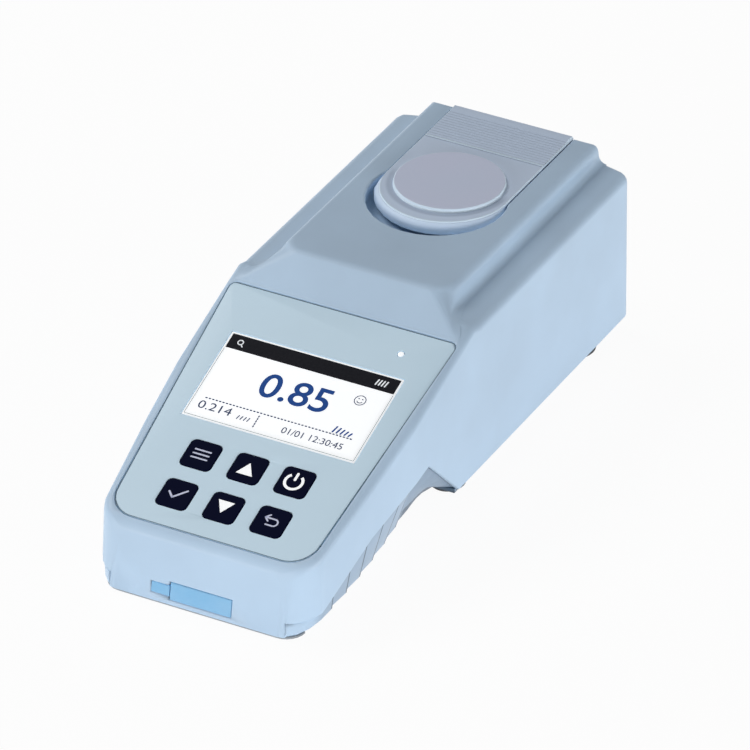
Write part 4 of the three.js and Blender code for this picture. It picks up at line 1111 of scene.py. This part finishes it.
@dataclass
class Electronics:
    """The main board, what sits on it, the battery and the charging board."""

    bench: Bench

    def build(self) -> None:
        """Dresses the boards, switches and battery."""
        keys = ("menu", "up", "power", "confirm", "down", "back")
        switches = [f"key_switch_{name}" for name in keys]
        screws = [f"board_screw_{number}" for number in range(1, 5)]
        self.bench.finish(Slot.BLACK_PLASTIC, *switches, "display_backlight", "buzzer")
        self.bench.finish(Slot.STEEL, *screws, "charging_port")
        self.bench.finish(Slot.BOARD, "main_board", "charging_board")
        self.bench.finish(Slot.LAMP, "status_led")
        self.bench.finish(Slot.BATTERY_WRAP, "battery_pack")
        self.bench.finish(Slot.DARK_RUBBER, "battery_lead")


@dataclass
class PortCover:
    """The blue rubber flap in the front face and the tab that holds it."""

    bench: Bench

    def build(self) -> None:
        """Builds the flap and its tab."""
        self.bench.mould("port_cover", Body.PORT_COVER, Slot.BLUE_RUBBER, 0.3 * MM, 3)
        self.bench.mould("port_cover_anchor", Body.CASING, Slot.BLUE_RUBBER, 0.25 * MM, 3)


@dataclass
class Display:
    """The lit display and what it shows."""

    bench: Bench
    printer: Printer
    sunk: float = 0.15 * MM
    lift: float = 0.01 * MM

    def build(self) -> None:
        """Builds the screen and prints its picture."""
        self.bench.finish(Slot.SCREEN, "display_screen")
        out = self.lift - self.sunk
        black = Ink("bar_ink", srgb(10, 11, 20), shine=0.05).make()
        blue = Ink("digit_ink", srgb(14, 72, 150)).make()
        grey = Ink("small_digit_ink", srgb(50, 66, 104)).make()
        # The grey rim ink is painted shadow of the window's edge.
        rim = Ink("rim_shadow_ink", srgb(132, 148, 150)).make()
        white = Ink("bar_icon_ink", srgb(232, 236, 240), glow=0.2).make()
        marks, digits = self.printer.print_shapes, self.printer.print_digits
        strip = [(-31.9, -26.7), (31.9, -26.7), (31.9, -20.5), (-31.9, -20.5)]
        marks("status_bar", [strip], out, black)
        icons = out + self.printer.layer
        # Painted shadow of the window's edge, along the picture's sides and lower end.
        sides = [bar((x, -27.2), (x, -56.8), 0.16, 2) for x in (-32.0, 32.0)]
        marks("picture_rim_shadow", [*sides, bar((-31.8, -56.9), (31.8, -56.9), 0.16, 2)], out, rim)
        lens = [
            bow((-27.7, -23.4), 0.95, 0.4, 0, 2 * math.pi),
            bar((-27.1, -24.2), (-26.4, -25.0), 0.45),
        ]
        marks("status_bar_lens_icon", lens, icons, white)
        cells = [
            bar((24.1 + 1.15 * step, -24.7), (24.5 + 1.15 * step, -22.6), 0.55) for step in range(4)
        ]
        marks("status_bar_battery_icon", cells, icons, white)
        face = [
            bow((22.4, -32.7), 2.0, 0.3, 0, 2 * math.pi),
            disc((21.7, -32.1), 0.26),
            disc((23.1, -32.1), 0.26),
            bow((22.4, -32.7), 1.1, 0.3, math.radians(205), math.radians(335)),
        ]
        marks("quality_icon", face, out, grey)
        dashes = [bar((x, -48.7), (x + 0.5, -48.7), 0.5, 2) for x in self._steps(-27.9, 27.1, 1.3)]
        marks("dashed_rule", dashes, out, grey)
        posts = [bar((-6.9, -y), (-6.9, -y - 0.6), 0.45, 2) for y in self._steps(49.9, 54.6, 1.1)]
        marks("dashed_divider", posts, out, grey)
        units = [
            bar((19.6 + 1.5 * step, -47.9), (20.3 + 1.5 * step, -45.4 - 0.3 * step), 0.6)
            for step in range(5)
        ]
        marks("unit_bars", units, out, blue)
        small = [
            bar((-13.8 + 1.3 * step, -53.4), (-13.4 + 1.3 * step, -52.0), 0.4) for step in range(4)
        ]
        marks("absorbance_bars", small, out, grey)
        digits("reading_digits", "0.85", (-12.6, -42.0), 10.0, 25.6, 0.3, out, blue)
        digits("absorbance_digits", "0.214", (-29.0, -53.4), 3.3, 12.4, 0.0, out, grey)
        digits("clock_digits", "01/01 12:30:45", (3.0, -54.0), 2.6, 22.8, 0.0, out, grey)

    @staticmethod
    def _steps(first: float, last: float, pitch: float) -> list[float]:
        """Evenly spaced places from first to last."""
        return [first + pitch * step for step in range(int((last - first) / pitch) + 1)]


@dataclass
class Keypad:
    """The panel's label, the six keys and their marks, and the lamp dot."""

    bench: Bench
    printer: Printer
    pitch: float = 17.7
    upper_row: float = -71.7
    lower_row: float = -89.3
    proud: float = 0.3 * MM
    lift: float = 0.005 * MM

    def build(self) -> None:
        """Builds the label, the keys, their marks and the lamp."""
        self.bench.mould("front_overlay", Body.CASING, Slot.OVERLAY, 0)
        self._edge_shadow_line()
        self.bench.mould("status_light_pipe", Body.CASING, Slot.LAMP, 0.15 * MM)
        # The key marks glow a little as painted light.
        pale = Ink("key_mark_ink", srgb(248, 250, 252), roughness=0.45, glow=0.3).make()
        soft = Ink("key_sign_ink", srgb(196, 200, 222), roughness=0.45, glow=0.12).make()
        pitch, up, low = self.pitch, self.upper_row, self.lower_row
        menu = [bar((-2.9, rise), (2.9, rise), 0.6) for rise in (-1.6, 0.1, 1.8)]
        power = [
            bow((0.0, 0.0), 3.1, 1.0, math.radians(128), math.radians(412)),
            bar((0.0, 0.9), (0.0, 3.5), 0.95),
        ]
        tick = [bar((-2.9, 0.3), (-0.9, -1.7), 0.7), bar((-0.9, -1.7), (3.1, 2.2), 0.7)]
        bent_arrow = [
            bar((-2.5, 1.2), (1.2, 1.2), 0.6),
            bow((1.2, -0.2), 1.4, 0.6, -math.pi / 2, math.pi / 2),
            bar((1.2, -1.6), (-1.2, -1.6), 0.6),
            bar((-2.5, 1.2), (-1.1, 2.5), 0.6),
            bar((-2.5, 1.2), (-1.1, -0.1), 0.6),
        ]
        self._key("menu", (-pitch, up), menu, soft)
        self._key("up", (-0.1, up), [[(-3.05, -2.75), (3.05, -2.75), (0.0, 2.35)]], pale)
        self._key("power", (pitch - 0.4, up), power, pale)
        self._key("confirm", (-pitch, low), tick, soft)
        self._key("down", (-0.1, low), [[(-3.05, 2.75), (3.05, 2.75), (0.0, -2.35)]], pale)
        self._key("back", (pitch, low), bent_arrow, soft)

    def _edge_shadow_line(self) -> None:
        """Prints a thin dark line round the label's edge, as painted shadow in the gap round the
        label.
        """
        ink = Ink("label_edge_shadow_ink", srgb(104, 126, 142), roughness=0.45).make()
        shapes = [bar((-half, y), (half, y), 0.3, 2) for half, y in ((40.9, -0.2), (28.0, -102.5))]
        for side, turn in ((1, 0.0), (-1, math.pi)):
            shapes.append(bar((side * 43.2, -2.6), (side * 37.8, -93.3), 0.3, 2))
            corners = (((side * 40.9, -2.5), 2.3, side), ((side * 28.0, -92.7), 9.8, -side))
            for middle, radius, way in corners:
                ends = sorted((turn, turn + way * math.pi / 2))
                shapes.append(bow(middle, radius, 0.3, *ends))
        self.printer.print_shapes("label_edge_shadow_line", shapes, 0.0, ink, Body.CASING, Slot.OVERLAY)

    def _key(self, name: str, middle: Point, shapes: list[Outline], ink: Material) -> None:
        """Builds a key and prints its mark.

        Args:
            name: The key's name.
            middle: Where its mark's middle lies on the panel, in millimetres.
            shapes: The mark's outlines round that middle.
            ink: The mark's ink.
        """
        body, top = Body(f"{name}_key"), self.proud + self.lift
        self.bench.mould(f"key_{name}", body, Slot.KEY, 0.22 * MM, 3)
        moved = [[(middle[0] + x, middle[1] + y) for x, y in outline] for outline in shapes]
        self.printer.print_shapes(f"key_{name}_mark", moved, top, ink, body, Slot.KEY)


@dataclass
class Studio:
    """The pale floor, the soft lamps and the camera at the picture's angle."""

    azimuth: float = 0.4899477
    elevation: float = 0.5623475
    focal_pixels: float = 7775.417
    distance: float = 2626.240 * MM
    target: tuple[float, float, float] = (6.7723 * MM, -1.0 * MM, 32.9929 * MM)
    sensor: float = 36.0
    floor_side: float = 6.0
    ambient: float = 0.15
    card: Colour = (0.9, 0.9, 0.9)
    table_glow: float = 0.45
    seen_glow: float = 0.98
    seen_share: float = 0.94
    reach: float = 1.8
    far: float = 50.0
    # by name: angles round and above the meter in degrees, width and height in metres, watts
    lamps: dict[str, tuple[Point, Point, float]] = field(
        default_factory=lambda: {
            "front": ((-22.0, 9.0), (1.6, 0.5), 13.5),
            "right": ((80.0, 8.0), (1.6, 0.45), 16.5),
            "left": ((-95.0, 50.0), (1.2, 0.7), 13.5),
        }
    )

    def build(self) -> None:
        """Builds the floor, the lamps, the surroundings and the camera."""
        bpy.context.scene.view_settings.view_transform = "Standard"
        self._floor()
        self._surroundings()
        self._lamps()
        self._camera()

    def _floor(self) -> None:
        """Lays the floor, which keeps a soft shadow."""
        mesh = bpy.data.meshes.new("floor")
        half = self.floor_side / 2
        corners = [(-half, -half, 0), (half, -half, 0), (half, half, 0), (-half, half, 0)]
        mesh.from_pydata(corners, [], [(0, 1, 2, 3)])
        floor = bpy.data.objects.new("floor", mesh)
        bpy.context.scene.collection.objects.link(floor)
        graph = Graph(bpy.data.materials.new("floor_card"))
        card = graph.node("ShaderNodeBsdfDiffuse", None, {"Color": self.card})
        lit = graph.node("ShaderNodeEmission", None, {"Strength": self.table_glow})
        table = graph.node("ShaderNodeAddShader", None, {0: card, 1: lit})
        white = graph.node("ShaderNodeEmission", None, {"Strength": self.seen_glow})
        share = self._seen(graph) * self.seen_share
        mixed = graph.node("ShaderNodeMixShader", None, {0: share, 1: table, 2: white})
        graph.close(mixed, "Material")
        mesh.materials.append(graph.owner)

    @staticmethod
    def _seen(graph: Graph) -> Shade:
        """1 for rays from the camera, and for those that gloss or glass sends on."""
        kinds = ("Is Camera Ray", "Is Glossy Ray", "Is Transmission Ray")
        return sum(graph.node("ShaderNodeLightPath", output=kind) for kind in kinds).least(1.0)

    def _surroundings(self) -> None:
        """Lights the world evenly, and shows it white."""
        world = bpy.data.worlds.new("studio")
        bpy.context.scene.world = world
        graph = Graph(world)
        strength = self._seen(graph) * (1 - self.ambient) + self.ambient
        sky = graph.node("ShaderNodeBackground", None, {"Strength": strength})
        graph.close(sky, "World")

    def _lamps(self) -> None:
        """Hangs the soft lamps round the meter."""
        for name, ((turn, lift), size, power) in self.lamps.items():
            light = bpy.data.lights.new(name, "AREA")
            light.shape = "RECTANGLE"
            light.size, light.size_y = size
            light.energy = power
            self._aim(light, math.radians(turn), math.radians(lift), self.reach)

    def _camera(self) -> None:
        """Sets the camera up as the photograph was taken."""
        data = bpy.data.cameras.new("camera")
        data.sensor_width = self.sensor
        data.lens = self.focal_pixels / PICTURE_SIDE * self.sensor
        data.clip_end = self.far
        camera = self._aim(data, self.azimuth, self.elevation, self.distance)
        bpy.context.scene.camera = camera

    def _aim(self, data: bpy.types.ID, turn: float, lift: float, away: float) -> Piece:
        """Sets a lamp or the camera up so that it faces the meter.

        Args:
            data: The light or the camera.
            turn: Its angle round the meter from the front, to the right, in radians.
            lift: Its angle above the table, in radians.
            away: How far off it stands, in metres.

        Returns:
            The lamp's or the camera's object.
        """
        level = math.cos(lift)
        way = Vector((math.sin(turn) * level, -math.cos(turn) * level, math.sin(lift)))
        made = bpy.data.objects.new(data.name, data)
        made.location = Vector(self.target) + way * away
        made.rotation_euler = way.to_track_quat("Z", "Y").to_euler()
        bpy.context.scene.collection.objects.link(made)
        return made


def make_finishes(panel: Panel) -> dict[Slot, Material]:
    """Builds the finish of each slot.

    Args:
        panel: The panel, for the screen's place.

    Returns:
        The materials by slot.
    """
    recipes = {
        Slot.CASING: Plastic("casing_plastic", srgb(185, 209, 232), roughness=0.42),
        Slot.OVERLAY: Plastic(
            "panel_film",
            srgb(208, 233, 249),
            roughness=0.4,
            grain=0.006 * MM,
            grain_scale=1800.0,
            drift_share=0.02,
        ),
        Slot.SCREEN: LitScreen(
            "display_glass",
            srgb(242, 244, 246),
            glow=0.42,
            half_size=(32.6 * MM, 18.85 * MM),
            middle=panel.matrix() @ Vector((0.0, -38.75 * MM, 0.0)),
            tilt=panel.tilt,
        ),
        Slot.KEY: Plastic(
            "key_plastic", srgb(6, 10, 36), roughness=0.55, grain=0.006 * MM, shine=0.02
        ),
        Slot.LAMP: Plastic(
            "lamp_plastic", srgb(246, 248, 250), roughness=0.3, grain=0.002 * MM, glow=0.35
        ),
        Slot.LID: LidPlastic(
            "lid_plastic",
            colour=srgb(205, 221, 243),
            disc=srgb(214, 220, 243),
            # The pale edge is a painted highlight, the next colour painted shade, and the last the
            # painted light of the skirt's glow.
            edge=srgb(222, 240, 255),
            painted_shade_colour=srgb(162, 177, 199),
            painted_lip_light=srgb(176, 206, 226),
        ),
        Slot.BLUE_RUBBER: Rubber(
            "blue_silicone", srgb(132, 188, 228), roughness=0.55, grain=0.01 * MM, dust_share=0.06
        ),
        Slot.DARK_RUBBER: Rubber("dark_rubber", srgb(58, 60, 64)),
        Slot.SOLE_RUBBER: Rubber("sole_rubber", srgb(142, 148, 154)),
        Slot.STEEL: Metal("plated_steel", srgb(196, 198, 202)),
        Slot.BLACK_PLASTIC: Plastic("black_plastic", srgb(28, 29, 32), roughness=0.55),
        Slot.BOARD: Laminate("board_laminate"),
        Slot.FILTER_GLASS: Glass("filter_glass", srgb(150, 196, 214)),
        Slot.BATTERY_WRAP: Plastic(
            "battery_wrap",
            srgb(44, 92, 164),
            roughness=0.3,
            grain=0.01 * MM,
            grain_scale=900.0,
            drift_share=0.1,
        ),
        Slot.CABLE: Ribbon("ribbon_cable"),
    }
    return {slot: recipe.make() for slot, recipe in recipes.items()}


def main() -> None:
    """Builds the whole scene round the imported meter."""
    logging.basicConfig(level=logging.INFO, format="%(name)s: %(message)s")
    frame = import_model()
    panel = Panel()
    bench = Bench(frame["nodes"], make_finishes(panel))
    printer = Printer(bench, panel)
    Casing(bench).build()
    LidUnit(bench).build()
    Optics(bench).build()
    Electronics(bench).build()
    PortCover(bench).build()
    Display(bench, printer).build()
    Keypad(bench, printer).build()
    Studio().build()


if __name__ == "__main__":
    main()
